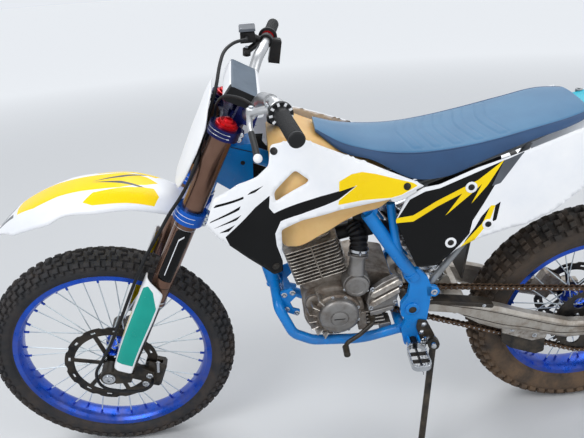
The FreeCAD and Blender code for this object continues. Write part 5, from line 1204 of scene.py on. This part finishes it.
makeGrips()
makeLevers()
makeBarPad()
print("stage: handlebar")


# engine

engine = {
    "crank": (631.0, 0, 474.0), "tiltDegrees": 15.0, "caseLeft": -57.0, "caseRight": 92.0,
    "case": ((560, 430), (560, 560), (700, 590), (790, 566), (798, 470), (776, 420), (640, 400)),
    # distance out from the middle plane, radius: the round crank case and the two steps of its cover
    "round": ((20, 0), (20, 84), (78, 84), (83, 81), (85, 76), (85, 0)),
    "basePlace": (635.0, 0, 479.0),
    "coverBase": ((80, 0), (80, 66), (104, 65), (108, 62), (109, 58), (109, 0)),
    "coverPlace": (639.0, 0, 483.0),
    "cover": ((106, 0), (106, 55), (118, 54), (124, 51), (127.5, 46), (128.5, 41), (128.5, 25), (127.5, 24),
              (127.5, 22.5), (130.5, 21.5), (131.5, 19), (131.5, 0)),
    "idlerPlace": (579.0, 0, 514.0), "idler": ((50, 0), (50, 27), (88, 27), (93, 25), (95, 22), (95, 0)),
    # the right side: crank case, clutch cover and the cover over the crank's end
    "roundRight": ((20, 0), (20, 84), (78, 84), (84, 79), (84, 0)), "clutchPlace": (701.0, 0, 482.0),
    "clutch": ((80, 0), (80, 76), (112, 75), (122, 70), (127, 62), (129, 54), (130, 0)),
    "crankEnd": ((80, 0), (80, 46), (114, 45), (120, 40), (122, 32), (122, 0)),
    "ribs": 7, "finCount": 11, "finPitch": 10.5, "finFirst": 108.0, "finHalf": 73.0, "finThick": 3.0,
    "starterPlace": (691.0, 0, 562.0),
    "starter": ((58, 0), (58, 35), (61, 37), (88, 37), (92, 35.5), (93, 33), (99, 33), (102, 31.5), (104, 28),
                (104, 22), (103, 21), (103, 0)),
}


def upBarrel(local):
    # a place in the leaning cylinder's own axes, from the crank
    tilt = math.radians(engine["tiltDegrees"])
    x, y, z = np.moveaxis(np.asarray(local, float), -1, 0)
    return np.stack([engine["crank"][0] + x * math.cos(tilt) - z * math.sin(tilt), y,
                     engine["crank"][2] + x * math.sin(tilt) + z * math.cos(tilt)], -1)


def lyingSlab(centre, half, low, high, radius, bevel):
    # a rounded plate square to the cylinder's axis
    points, faces = oblong(centre, half, low, high, radius, bevel, 12.0)
    return upBarrel(points[:, (0, 2, 1)]), faces


def makeBarrel():
    # fins with bright sawn edges; every other fin stands a little shorter at the back, as cast
    parts = []
    first, pitch, wide = engine["finFirst"], engine["finPitch"], engine["finHalf"]
    for k in range(engine["finCount"]):
        low, short = first + k * pitch, 2.0 * (k % 2)
        fin = lyingSlab((-short, 0), (wide - short, wide - 1), low, low + engine["finThick"], 15.0, 0.9)
        parts.append((fin, "finAlloy"))
    top = first + engine["finCount"] * pitch
    for half, low, high, radius, bevel, coat in (
            ((50, 50), 90, top - 4, 34.0, 1.0, "castAlloy"), ((60, 58), 78, 100, 10.0, 2.0, "castAlloy"),
            ((52, 48), top - 8, top + 30, 10.0, 3.0, "castAlloy"),
            ((34, 30), top + 28, top + 34, 8.0, 2.0, "coverAlloy"),
            ((58, 55), top + 2, top + 5, 8.0, 0.8, "finAlloy"),
            ((56, 55), top + 11, top + 14, 8.0, 0.8, "finAlloy"),
            ((54, 55), top + 20, top + 23, 8.0, 0.8, "finAlloy")):
        parts.append((lyingSlab((0, 0), half, low, high, radius, bevel), coat))
    # short webs tie the fins at the middle of each face
    for place, half in (((0, -70), (2, 2.5)), ((0, 70), (2, 2.5)), ((-70, 0), (2.5, 2)),
                        ((-71, 30), (2.5, 2)), ((-71, -30), (2.5, 2))):
        parts.append((lyingSlab(place, half, first + 1, top - 9, 1.0, 0.4), "castAlloy"))
    axis = upBarrel((0, 0, 1.0)) - upBarrel((0, 0, 0.0))
    nuts = [upBarrel((x, y, top + 30)) for x in (-40, 40) for y in (-37, 37)]
    studs = [upBarrel((x, y, 100)) for x in (-52, 52) for y in (-50, 50)]
    plugCap = ((0, 0), (0, 8), (10, 8), (12, 5), (26, 4.5), (28, 7), (40, 7), (44, 4), (44, 0))
    parts += [(copies(boltHead(6, 7), nuts, axis), "brightSteel"),
              (copies(boltHead(5, 5), studs, axis), "brightSteel"),
              (turned(plugCap, upBarrel((18, -52, top + 8)), (0.1, -0.75, 0.66), 20), "softRubber")]
    dressed("engineBarrel", parts, "chassis", ["cylinder"], 30)


def makeCase():
    left, right = (0, -1.0, 0), (0, 1.0, 0)
    base, cover = np.array(engine["basePlace"]), engine["coverPlace"]
    parts = [(slab(engine["case"], engine["caseLeft"], engine["caseRight"], 12.0, 4.0), "castAlloy"),
             (turned(engine["round"], engine["crank"], left, 72), "castAlloy"),
             (turned(engine["coverBase"], base, left, 72), "castAlloy"),
             (turned(engine["cover"], cover, left, 72), "coverAlloy"),
             (turned(engine["idler"], engine["idlerPlace"], left, 40), "castAlloy"),
             (collar(88, 91, 27.6, 29, engine["idlerPlace"], left, 40), "coverAlloy"),
             (turned(engine["roundRight"], engine["crank"], right, 72), "castAlloy"),
             (turned(engine["clutch"], engine["clutchPlace"], right, 72), "coverAlloy"),
             (turned(engine["crankEnd"], engine["crank"], right, 56), "coverAlloy")]
    # sickle ribs round the cover's front side, wide at the case and narrow at the cover
    forward = inPlane(np.radians(128 + 19 * np.arange(engine["ribs"])))
    parts.append((copies(block(34, 5, 38, 1.4, 0.62), base + (0, -84, 0) + forward * 67, left, forward),
                  "finAlloy"))
    # bolts round both covers
    heads = base + (0, -108.5, 0) + 60.5 * inPlane(np.radians((20, 68, 100, 262, 300, 340)))
    parts.append((copies(boltHead(3.2, 3.4, 0.8), heads, left), "brightSteel"))
    heads = np.array(engine["clutchPlace"]) + (0, 121, 0) + 69 * inPlane(fullTurn(8) + math.radians(15))
    parts += [(copies(boltHead(3.4, 4, 0.8), heads, right), "brightSteel"),
              # a thin black strip across the left cover's middle cap stands for its slot: painted shade
              (oblong((cover[0], cover[2]), (15, 1.6), -131.3, -132.0, 1.0, 0.3), "blackPaint")]
    # cooling ribs low behind the cover, the oil sump's plug and the mounts
    for k in range(5):
        z = 12 * k
        rib = ((702, 416 + z), (772 - 4 * k, 420 + z), (772 - 4 * k, 424.5 + z), (702, 420.5 + z))
        parts.append((slab(rib, -54, -94, 1.5, 0.8), "finAlloy"))
    parts += [(slab(((694, 408), (718, 410), (716, 470), (696, 466)), -54, -96, 4.0, 1.5), "castAlloy"),
              (slab(((752, 404), (786, 410), (784, 428), (752, 424)), -54, -98, 4.0, 1.5), "coverAlloy"),
              (copies(boltHead(8, 7), (650, 10, 399), (0, 0, -1.0), (1.0, 0, 0)), "brightSteel")]
    dressed("engineCase", parts, "chassis", ["crankcase"], 32)


def makeStarter():
    # drum with its lid, three screws, and the neck with its clamp and rubber boot
    place, left, neckAxis = np.array(engine["starterPlace"]), (0, -1.0, 0), (0.14, 0.2, 0.97)
    screws = place + (0, -92.5, 0) + 34.5 * inPlane(np.radians((75, 200, 325)))
    screwHead = discStack(((0, 4.6), (2.4, 4.6), (3.4, 3.4), (3.4, 1.6), (2.4, 1.4), (2.4, 0)), 16)
    neck = ((-4, 0), (-4, 24), (12, 22), (40, 21), (46, 22), (48, 27.5), (53, 27.5), (55, 24), (58, 24),
            (58, 0))
    boot = curveThrough(((701, -66, 646), (703, -58, 668), (702, -44, 690), (694, -24, 704)), 2.0)
    ripple = 23.0 + 1.6 * np.cos(np.arange(len(boot)) * 1.25)
    parts = [(turned(engine["starter"], place, left, 64), "coverAlloy"),
             (copies(screwHead, screws, left), "brightSteel"),
             (turned(neck, (693, -76, 592), neckAxis, 44), "coverAlloy"),
             (collar(0, 7, 24.4, 26.6, (702, -64, 652), neckAxis, 44), "brightSteel"),
             (copies(hexBolt(3.4, 9), (700, -92, 655), (0.2, -0.2, 0.95)), "brightSteel"),
             (swept(boot, ripple, 28, (1, 0, 0)), "softRubber")]
    dressed("starterDrum", parts, "chassis", ["starter"], 32)


chainLine = {
    # places in x and z
    "y": -68.0, "small": (760.0, 500.0), "large": (1370.0, 340.2), "teeth": (13, 44),
    # link plate: radius at the pins and half width at the waist
    "linkRadius": 6.6, "linkWaist": 4.6, "linkThick": 1.5, "roller": 4.8, "pin": 2.3,
}


def makeSprocketCase():
    # the arm-shaped cover with two bright ribs and a sunk web between them, and the small sprocket behind it
    cover = ((716, 504), (724, 540), (760, 566), (800, 584), (814, 572), (806, 540), (792, 476), (744, 460),
             (722, 470))
    upper = ((724, 530), (730, 542), (800, 580), (812, 572), (806, 562), (736, 524))
    lower = ((722, 500), (728, 512), (802, 552), (806, 536), (734, 494))
    web = ((726, 462), (790, 478), (788, 490), (724, 476))
    left, (x, z) = (0, -1.0, 0), chainLine["small"]
    bolts = [(732, -100, 548), (794, -100, 500), (728, -100, 486), (806, -100, 556)]
    parts = [(slab(cover, -80, -100, 8.0, 2.0), "coverAlloy"), (slab(upper, -98, -110, 3.0, 2.2), "finAlloy"),
             (slab(lower, -98, -110, 3.0, 2.2), "finAlloy"), (slab(web, -98, -106, 3.0, 1.5), "coverAlloy"),
             (toothedRing(chainLine["teeth"][0], (x, z), -65.6, -70.4), "darkSteel"),
             (turned(((57, 9), (57, 0), (76, 0), (76, 9)), (x, 0, z), left, 24), "darkSteel"),
             (copies(boltHead(4.2, 5), bolts, left), "brightSteel")]
    dressed("sprocketCase", parts, "chassis", ["sprocket_cover"], 32)


makeBarrel()
makeCase()
makeStarter()
makeSprocketCase()
print("stage: engine")


# chain

def makeChain():
    # pins stand at equal steps along the closed line that touches both pitch circles
    pitch = stance["chainPitch"]
    small, large = np.array(chainLine["small"]), np.array(chainLine["large"])
    r0, r1 = [pitch / (2 * math.sin(math.pi / teeth)) for teeth in chainLine["teeth"]]
    run = large - small
    base, swing = math.atan2(run[1], run[0]), math.acos((r0 - r1) / np.linalg.norm(run))
    low, high = base - swing, base + swing
    right, up = (1.0, 0), (0, 1.0)
    ring = np.concatenate([small + r0 * around(np.linspace(high, low + 2 * np.pi, 60), right, up),
                           large + r1 * around(np.linspace(low, high, 160), right, up)])
    ring = np.vstack([ring, ring[:1]])
    reach = pathLength(ring)
    count = 2 * int(round(reach[-1] / pitch / 2))
    at = np.linspace(0, reach[-1], count, endpoint=False)
    pins = np.column_stack([np.interp(at, reach, ring[:, 0]), np.full(count, chainLine["y"]),
                            np.interp(at, reach, ring[:, 1])])
    ahead = np.roll(pins, -1, 0) - pins
    middle = pins + ahead / 2
    # link plate: two round ends joined by a waist
    radius, waist = chainLine["linkRadius"], chainLine["linkWaist"]
    end = (pitch / 2, 0) + radius * around(np.linspace(-np.pi / 2, np.pi / 2, 7), right, up)
    outline = np.concatenate([end, [(0, waist)], -end, [(0, -waist)]])
    points, faces = slab(outline, 0.0, chainLine["linkThick"], 0.0, 0.3, 50.0)
    link = points[:, (0, 2, 1)], faces
    parts = []
    for side in (-1, 1):
        # inner and outer links take turns
        for which, out in ((0, 4.2), (1, 5.8)):
            picked = slice(which, None, 2)
            links = copies(link, middle[picked] + (0, side * out, 0), (0, side, 0), ahead[picked])
            parts.append((links, "chainSteel"))
    parts += [(rods(pins - (0, 4.1, 0), pins + (0, 4.1, 0), chainLine["roller"], 10), "chainDark"),
              (rods(pins - (0, 7.6, 0), pins + (0, 7.6, 0), chainLine["pin"], 7), "brightSteel")]
    dressed("chainLinks", parts, "chassis", ["chain"], 36)


makeChain()
print("stage: chain")


# frame fittings: bolts, beads, brackets and the stand's spring

chassis = {
    "plateFace": 127.0, "mountBolts": ((498, 527), (521, 532), (502, 478), (529, 462)), "mountFace": 61.0,
    "pivot": (834.0, 492.0), "standPivot": (890.0, -150.0, 384.0), "standFoot": (835.0, -267.0, 52.0),
    "bracket": ((850, 456), (874, 450), (886, 424), (900, 392), (894, 368), (866, 360), (856, 396),
                (846, 428)),
    "bracketThick": 4.5, "bracketBolts": ((866, 438, 5.5), (861, 412, 5.5), (882, 384, 8.0)),
    "strutLug": ((868, 564), (898, 556), (908, 540), (898, 524), (872, 528)), "strutBolt": (891, 541),
    # head tube's bearing cups, up the steering axis
    "cups": (946, 1132), "cupInner": 26.4, "cupRadius": 29.0,
    # weld rings: place, axis and radius, the first ones on both sides
    "welds": (((826, 120, 606), (0.53, 0, -0.85), 17.6), ((797, 119, 658), (0.22, 0.1, -0.97), 11.6),
              ((806, 104, 412), (1, 0.06, 0.28), 14.6), ((724, 104, 796), (0, 1, 0), 17.8),
              ((776, 116, 690), (0.53, 0.1, -0.85), 17.4)),
    "middleWelds": (((474, 0, 530), (0.19, 0, -0.98), 19.6), ((714, 0, 802), (0.86, 0, -0.5), 20.4)),
}


def makeChassisFittings():
    face, thick, paint, steel = chassis["plateFace"], chassis["bracketThick"], [], []
    px, pz = chassis["pivot"]
    for side in (-1, 1):
        out, mirror = (0, float(side), 0), np.array((1.0, side, 1.0))
        pivot, plateSide = (px, side * face, pz), side * face
        spots = [(x, side * chassis["mountFace"], z) for x, z in chassis["mountBolts"]]
        steel.append((copies(boltHead(5.2, 5), spots, out), "brightSteel"))
        washer = ((-0.3, 10.6), (-0.3, 19), (2.7, 19), (5.7, 16), (6.3, 13), (6.3, 10.6))
        # a black disc fills the washer's bore a little below its face: painted shade for the hollow pivot
        # bolt's bore, with a dark steel ring on it
        paint += [(turned(washer, pivot, out, 48, closed=True), "framePaint"),
                  (turned(((4.6, 0), (4.6, 10.8), (5.4, 10.8), (5.6, 8), (5.6, 0)), pivot, out, 36),
                   "blackPaint")]
        ring = ((5.2, 6.4), (5.2, 9.6), (6.2, 9.2), (6.2, 6.8))
        steel.append((turned(ring, pivot, out, 36, closed=True), "darkSteel"))
        paint.append((slab(chassis["strutLug"], side * (face - 13.5), plateSide, 6.0, 1.5), "framePaint"))
        x, z = chassis["strutBolt"]
        steel.append((copies(boltHead(5.6, 6), (x, plateSide, z), out), "brightSteel"))
        bracket = slab(chassis["bracket"], side * (face + 0.1), side * (face + thick), 7.0, 1.0)
        paint.append((bracket, "blackPaint"))
        for x, z, radius in chassis["bracketBolts"]:
            dome = ((0, 0), (0, radius * 1.35), (1.5, radius * 1.35), (2, radius),
                    (radius * 0.5, radius * 0.94), (radius * 0.9, radius * 0.5), (radius, 0))
            steel.append((turned(dome, (x, side * (face + thick), z), out, 28), "brightSteel"))
        for place, axis, radius in chassis["welds"]:
            paint.append((bead(place * mirror, axis * mirror, radius), "framePaint"))
        # seam of the head box, and a black disc that stands for its drain hole: painted shade
        paint += [(swept([(401, side * 33.4, 963), (460, side * 33.4, 942)], 1.0, 6), "blackPaint"),
                  (turned(((0, 0), (0, 5.6), (0.8, 5.4), (0.8, 0)), (425, side * 33.1, 919), out, 24),
                   "blackPaint")]
        # peg mount: two cheeks and a pin
        for x in (824, 852):
            paint.append((oblong((x, 386), (3, 14), plateSide, side * (face + 24), 2.0, 0.8), "framePaint"))
        steel.append((rods((818, side * (face + 16), 386), (860, side * (face + 16), 386), 4.0, 14),
                      "brightSteel"))
    for s in chassis["cups"]:
        cup = collar(-3, 3, chassis["cupInner"], chassis["cupRadius"], steer(s, 0), forkUp, 44)
        paint.append((cup, "brightSteel"))
    paint += [(bead(place, axis, radius), "framePaint") for place, axis, radius in chassis["middleWelds"]]
    dressed("frameFittings", paint, "chassis")
    dressed("frameBolts", steel, "chassis")


spring = {"legPlace": 92, "legHook": (-16, 2, 0), "frameHook": (-22, 18, 12), "turns": 15, "radius": 6.0,
          "wire": 1.3}


def makeStandSpring():
    # helix between a hook on the leg and one on the frame: p = a + (b - a)*t + r*(side cos + up sin);
    # its radius grows from nothing between 6 and 10 percent of the way, and the same at the other end
    pivot, foot = np.array(chassis["standPivot"]), np.array(chassis["standFoot"])
    start = pivot + unit(foot - pivot) * spring["legPlace"] + spring["legHook"]
    run = pivot + spring["frameHook"] - start
    t = np.linspace(0, 1, 420)
    along = unit(run)
    side, up = squareTo(along, (0, 1.0, 0))
    turns = 2 * np.pi * spring["turns"] * np.clip((t - 0.1) / 0.8, 0, 1)
    radius = spring["radius"] * np.clip(np.minimum(t - 0.06, 0.94 - t) / 0.04, 0, 1)
    path = start + run * t[:, None] + radius[:, None] * around(turns, side, up)
    dressed("standSpring", [(swept(path, spring["wire"], 6, along), "brightSteel")], "chassis")
    cap = turned(((14, 0), (14, 8), (17, 7), (18.5, 4), (18.5, 0)), pivot, (-0.13, -0.98, 0.17), 24)
    dressed("standBoltCap", [(cap, "brightSteel")], "side_stand")


peg = {"x": 838.0, "z": 386.0, "start": 153.0, "end": 245.0, "half": 26.0, "wall": 5.0, "teeth": 34,
       "bars": (187.0, 215.0), "stub": 127.4}


def makePegs():
    # serrated cage: an open rim, two bars across and teeth standing on every edge
    x0, z0, start, end, half = peg["x"], peg["z"], peg["start"], peg["end"], peg["half"]
    rim = ((x0 - 14, start), (x0 - half, start + 16), (x0 - half, end - 10), (x0 - half + 10, end),
           (x0 + half - 10, end), (x0 + half, end - 10), (x0 + half, start + 16), (x0 + 14, start))
    outer = softOutline(rim, 7.0, 5.0)
    centre = outer.mean(0)
    inner = centre + (outer - centre) * (1 - peg["wall"] / np.linalg.norm(outer - centre, axis=1))[:, None]
    middle = (outer + inner) / 2
    closed = np.vstack([middle, middle[:1]])
    reach = pathLength(closed)
    at = np.linspace(0, reach[-1], peg["teeth"], endpoint=False)
    foot = [(-2.8, -1.8, 0), (2.8, -1.8, 0), (2.8, 1.8, 0), (-2.8, 1.8, 0)]
    tip = [(-0.5, -1.2, 5), (0.5, -1.2, 5), (0.5, 1.2, 5), (-0.5, 1.2, 5)]
    tooth = surfaceOf(np.array([foot, tip]), closedColumns=True, caps=True)
    levels = ((outer, z0 - 8), (outer, z0 + 7), (middle, z0 + 8.5), (inner, z0 + 7), (inner, z0 - 8))
    parts = []
    for side in (-1, 1):
        ring = np.array([np.column_stack([line * (1, side), np.full(len(line), z)]) for line, z in levels])
        place = np.column_stack([np.interp(at, reach, closed[:, 0]),
                                 side * np.interp(at, reach, closed[:, 1]), np.full(len(at), z0 + 6.5)])
        parts += [(surfaceOf(ring, closedRows=True, closedColumns=True), "brightSteel"),
                  (copies(tooth, place, (0, 0, 1.0), np.roll(place, -1, 0) - place), "brightSteel")]
        for y in peg["bars"]:
            parts.append((oblong((x0, z0 - 1), (half - 3, 6), side * (y - 2), side * (y + 2), 1.0, 0.6),
                          "darkSteel"))
        parts += [(oblong((x0, z0 - 1), (2, 6), side * (start + 3), side * (end - 3), 0.8, 0.5), "darkSteel"),
                  (rods((x0, side * peg["stub"], z0), (x0, side * (start + 5), z0), 10.0, 20), "darkSteel")]
    dressed("pegCages", parts, "chassis", ["footpegs"])


# fork fittings

fork = {
    "capSeat": 1171.0, "capRibs": 20,
    # seal and rings round the outer tube, from its foot up: low, high, inner and outer radius, finish
    "rings": ((634, 640, 22.4, 27.0, "softRubber"), (640, 643, 22.4, 30.0, "brightSteel"),
              (652, 656, 26.6, 29.6, "brightSteel"), (700, 701.2, 26.6, 27.5, "blackPaint"),
              (884, 885.4, 26.6, 27.5, "brightSteel")),
    # foot, height and finish of each clamp, where up its height the pinch bolts stand, and its lines' finish
    "clamps": ((903, 35, "skyAnodised", (0.18, 0.5, 0.82), "whitePlastic"),
               (1140, 25, "navyAnodised", (0.25, 0.75), "brightSteel")),
    "ear": ((-6, 86), (-22, 88), (-22, 109), (-4, 111)), "lineLevels": (0.32, 0.68), "lineRadius": 38.1,
    "labelRadius": 27.35,
    "label": ((724, -40), (728, 38), (740, 44), (872, 40), (884, 30), (884, -34), (872, -44)),
    "labelLine": ((744, 8), (744, 12), (856, 12), (870, -10), (866, -12), (852, 8)),
}


def makeForkFittings():
    metal, other = [], []
    for side in (-1, 1):
        y, out = side * stance["legSpacing"], np.array((0, float(side), 0))
        # cap with its ribs and the hexagon of the adjuster
        top = steer(fork["capSeat"], stance["forkOffset"], y)
        cap = ((-6, 0), (-6, 26.4), (-1, 26.4), (0, 24), (0, 20), (5, 20), (6.5, 18), (6.5, 11), (8, 10.5),
               (12, 10), (13, 8), (13, 0))
        ribs = around(fullTurn(fork["capRibs"]), forkAhead, (0, 1.0, 0))
        metal += [(turned(cap, top, forkUp, 48), "redAnodised"),
                  (copies(block(3.4, 2.2, 5, 0.5), top + ribs * 19.6, forkUp, ribs), "redAnodised")]
        for low, high, inner, outer, coat in fork["rings"]:
            ring = collar(low, high, inner, outer, steer(0, stance["forkOffset"], y), forkUp, 44)
            metal.append((ring, coat))
        for foot, height, coat, boltLevels, lineCoat in fork["clamps"]:
            # ear behind the boss and its bolts, then the fine lines round the boss
            bolt = ((-26, 0), (-26, 6.6), (0, 6.6), (1.5, 5.4), (1.5, 3), (-1, 2.6), (-1, 0))
            for level in boltLevels:
                metal.append((turned(bolt, steer(foot + height * level, -15, side * 112), out, 20),
                              "brightSteel"))
            ear = np.array([steer(foot + 1, n, side * w) for n, w in fork["ear"]])
            other.append((surfaceOf(np.array([ear, ear + forkUp * (height - 2)]), closedColumns=True,
                                    caps=True), coat))
            for level in fork["lineLevels"]:
                line = around(np.linspace(-1.9, 1.9, 30), forkAhead, out) * fork["lineRadius"]
                line += steer(foot + height * level, stance["forkOffset"], y)
                other.append((swept(line, 0.7, 5, forkUp), lineCoat))
        # axle pinch bolts under the lug and the axle's end
        for n in (44, 66):
            metal.append((copies(boltHead(3.6, 4, 0.6), steer(360, n, side * 99), -forkUp), "brightSteel"))
        end = ((-1, 0), (-1, 17), (2, 17), (2, 13), (7, 12.4), (8, 11), (8, 5), (3, 4.6), (3, 0))
        place = stance["frontAxle"] + out * 122
        metal.append((turned(end, place, out, 6 if side > 0 else 36), "brightSteel"))
    dressed("forkFittings", metal, "fork")
    dressed("clampDetails", other, "fork")


def makeTubeLabels():
    # black label round the outer side of each tube, its corners cut, with a pale line along it
    outline, line = softOutline(fork["label"], 3.0), softOutline(fork["labelLine"], 0.5, 4.0)
    for sideName, side in (("Left", -1), ("Right", 1)):
        def wrap(s, degrees, side=side):
            turn, radius = np.radians(degrees), fork["labelRadius"]
            return steer(s, stance["forkOffset"] + radius * np.sin(turn),
                         side * (stance["legSpacing"] + radius * np.cos(turn)))
        mesh, numbers = cutPanel(outline, wrap, [(line, 1)], (), 8.0)
        addPiece("tubeLabel" + sideName, mesh, "fork", ["blackVinyl", "whitePlastic"],
                 numbers=numbers, wall=-0.5, closed=False)


def makeRunningFittings():
    # disc bolts and sprocket bolts turn with each wheel: distance across and out of the disc's bolts
    for end, side, across, out in (("front", -1, 63.6, 26.0), ("rear", 1, 63.6, 34.0)):
        spots = wheelRing(end, fullTurn(6), side * across, out)
        parts = [(copies(boltHead(4.2, 3.6, 0.6), spots, (0, side, 0)), "brightSteel")]
        if end == "rear":
            spots = wheelRing(end, fullTurn(6) + math.radians(30), -70.6, 46.0)
            parts.append((copies(boltHead(5.0, 4.6, 0.8), spots, (0, -1.0, 0)), "brightSteel"))
        dressed(end + "DiscBolts", parts, end + "_wheel")
    # bolt heads and pad pin of the front caliper
    head = discStack(((0, 9.5), (2.5, 9.5), (4, 8), (4.4, 5.5), (2.6, 5), (2.6, 0)), 28)
    pins = [(copies(head, [(102, -89.8, 312), (87, -89.8, 284)], (0, -1.0, 0)), "brightSteel"),
            (rods((131, -83, 352), (126, -83, 318), 5.0, 18), "brightSteel")]
    dressed("caliperPins", pins, "fork")


makeChassisFittings()
makeStandSpring()
makePegs()
makeForkFittings()
makeTubeLabels()
makeRunningFittings()
print("stage: frame and fork fittings")


# swingarm fittings, panel fasteners and the muffler's bands

arm = {
    "face": 112.0, "beadRadius": 1.1,
    # the two edge beads along the beam, in x and z
    "upper": ((868, 497), (966, 470), (1028, 452), (1086, 432), (1160, 404), (1290, 360), (1396, 352)),
    "lower": ((980, 440), (1040, 414), (1100, 390), (1160, 374), (1260, 342), (1340, 334)),
    "slider": ((846, 501), (900, 498), (966, 487), (1028, 475), (1064, 464), (1060, 455), (1020, 463),
               (960, 475), (900, 487), (846, 491)),
    "guideBracket": ((1100, 380), (1146, 376), (1236, 332), (1236, 312), (1196, 306), (1104, 346)),
    "adjusterY": 96,
}


def makeArmFittings():
    parts = []
    x, z = stance["rearAxle"][0], stance["rearAxle"][2]
    for side in (-1, 1):
        for route in (arm["upper"], arm["lower"]):
            line = curveThrough([(along, side * (arm["face"] + 0.2), height) for along, height in route], 6.0)
            parts.append((swept(line, arm["beadRadius"], 6), "blackPaint"))
        # adjuster block, the axle's nut, and the adjuster's screw
        across = side * arm["adjusterY"]
        parts += [(oblong((x - 1, z), (19, 17), side * 111.5, side * 117, 3.0, 1.2), "brightSteel"),
                  (copies(boltHead(15, 10, 2.5), (x, side * 116.5, z), (0, side, 0)), "brightSteel"),
                  (rods((x + 20, across, z), (x + 52, across, z), 4.0, 14), "brightSteel"),
                  (copies(hexBolt(7.5, 6), (x + 36, across, z), (1.0, 0, 0), (0, 1.0, 0)), "brightSteel")]
    left = (0, -1.0, 0)
    parts += [(slab(arm["slider"], -79, -113.5, 3.0, 1.0), "blackPlastic"),
              (copies(boltHead(3.4, 3, 0.5), [(880, -113.2, 493), (1036, -113.2, 466)], left), "brightSteel"),
              (slab(arm["guideBracket"], -86, -97, 4.0, 1.2), "finAlloy"),
              (copies(boltHead(4.8, 4, 0.8), [(1132, -97, 356), (1200, -97, 326)], left), "brightSteel")]
    dressed("swingarmFittings", parts, "chassis")


fasteners = {
    "sunk": 0.2, "shroud": ((500, 985), (806, 872), (482, 722)),
    "sideLeft": ((916, 711), (1005, 756), (960, 855)), "sideRight": ((916, 770), (1005, 800), (960, 855)),
    "washer": ((0, 7.5), (0, 14), (1.4, 14), (2.0, 12.6), (2.0, 8.6), (1.0, 7.5)),
    "sideScrew": ((0, 0), (0, 7.6), (2.2, 7.2), (3.6, 5), (3.6, 2.6), (1.8, 2.2), (1.8, 0)),
    "shroudScrew": ((0, 0), (0, 9), (1.2, 9), (1.6, 7.4), (1.6, 6.2), (3.4, 5.4), (4.2, 3), (4.2, 0)),
}


def onPanel(rows, side, x, z):
    # a place a little under a panel's surface at x and z, and its outward normal from two short steps
    step = 3.0
    spots = rowSurface(rows, side)(np.array((x, x + step, x)), np.array((z, z, z + step)))
    normal = np.cross(spots[1] - spots[0], spots[2] - spots[0])
    normal = unit(normal) * np.sign(normal[1] * side)
    return spots[0] - normal * fasteners["sunk"], normal


def makePanelFasteners():
    # the side panels' screws stand in white washers; their low ones differ left and right
    parts = []
    for sideName, side in (("Left", -1), ("Right", 1)):
        for x, z in fasteners["side" + sideName]:
            spot, normal = onPanel(panels["sideRows"], side, x, z)
            parts += [(turned(fasteners["washer"], spot, normal, 36, closed=True), "whitePlastic"),
                      (turned(fasteners["sideScrew"], spot, normal, 24), "blackPaint")]
        for x, z in fasteners["shroud"]:
            spot, normal = onPanel(panels["shroudRows"], side, x, z)
            parts.append((turned(fasteners["shroudScrew"], spot, normal, 28), "blackPaint"))
    dressed("panelFasteners", parts, "chassis")


def makeSeatTrim():
    # piping along the seam between the top and the side of the cushion
    table = np.array(seatShape["rows"], float)
    x = np.linspace(table[0, 0] + 4, table[-1, 0] - 4, 150)
    edge, edgeHalf = smoothRead(table[:, 0], table[:, 3:5], x).T
    parts = [(swept(np.column_stack([x, side * (edgeHalf - 0.6), edge - 0.9]), 1.7, 8), "seatSide")
             for side in (-1, 1)]
    dressed("seatPiping", parts, "chassis")


muffler = {"start": (985.0, 150.0, 690.0), "run": (400.0, 4.0, 112.0), "bands": (72, 92, -84, -62),
           "rivets": 14, "strap": (200, 218)}


def makeMufflerTrim():
    # sleeve bands, rivets and the strap that hangs it from the rail; an edge below 0 counts from the far end
    start, run = np.array(muffler["start"]), np.array(muffler["run"])
    length, axis = np.linalg.norm(run), unit(run)
    out = around(fullTurn(muffler["rivets"]), *squareTo(axis, (0, 1.0, 0)))
    rivet = discStack(((0, 2.6), (0.8, 2.4), (1.6, 1.4), (1.8, 0)), 10)
    edges = [place if place > 0 else length + place for place in muffler["bands"]]
    bands = (edges[:2], edges[2:])
    parts = [(collar(low, high, 45.6, 47.0, start, axis, 60), "brightSteel") for low, high in bands]
    parts += [(copies(rivet, start + axis * (low + high) / 2 + out * 46.9, out), "brightSteel")
              for low, high in bands]
    low, high = muffler["strap"]
    parts += [(collar(low, high, 46.2, 47.6, start, axis, 60), "blackPaint"),
              (copies(boltHead(4.6, 5), start + axis * (low + high) / 2 + (0, 48, 0), (0, 1.0, 0)),
               "brightSteel")]
    dressed("mufflerTrim", parts, "chassis")


makeArmFittings()
makePanelFasteners()
makeSeatTrim()
makeMufflerTrim()
print("stage: arm, panel and muffler fittings")
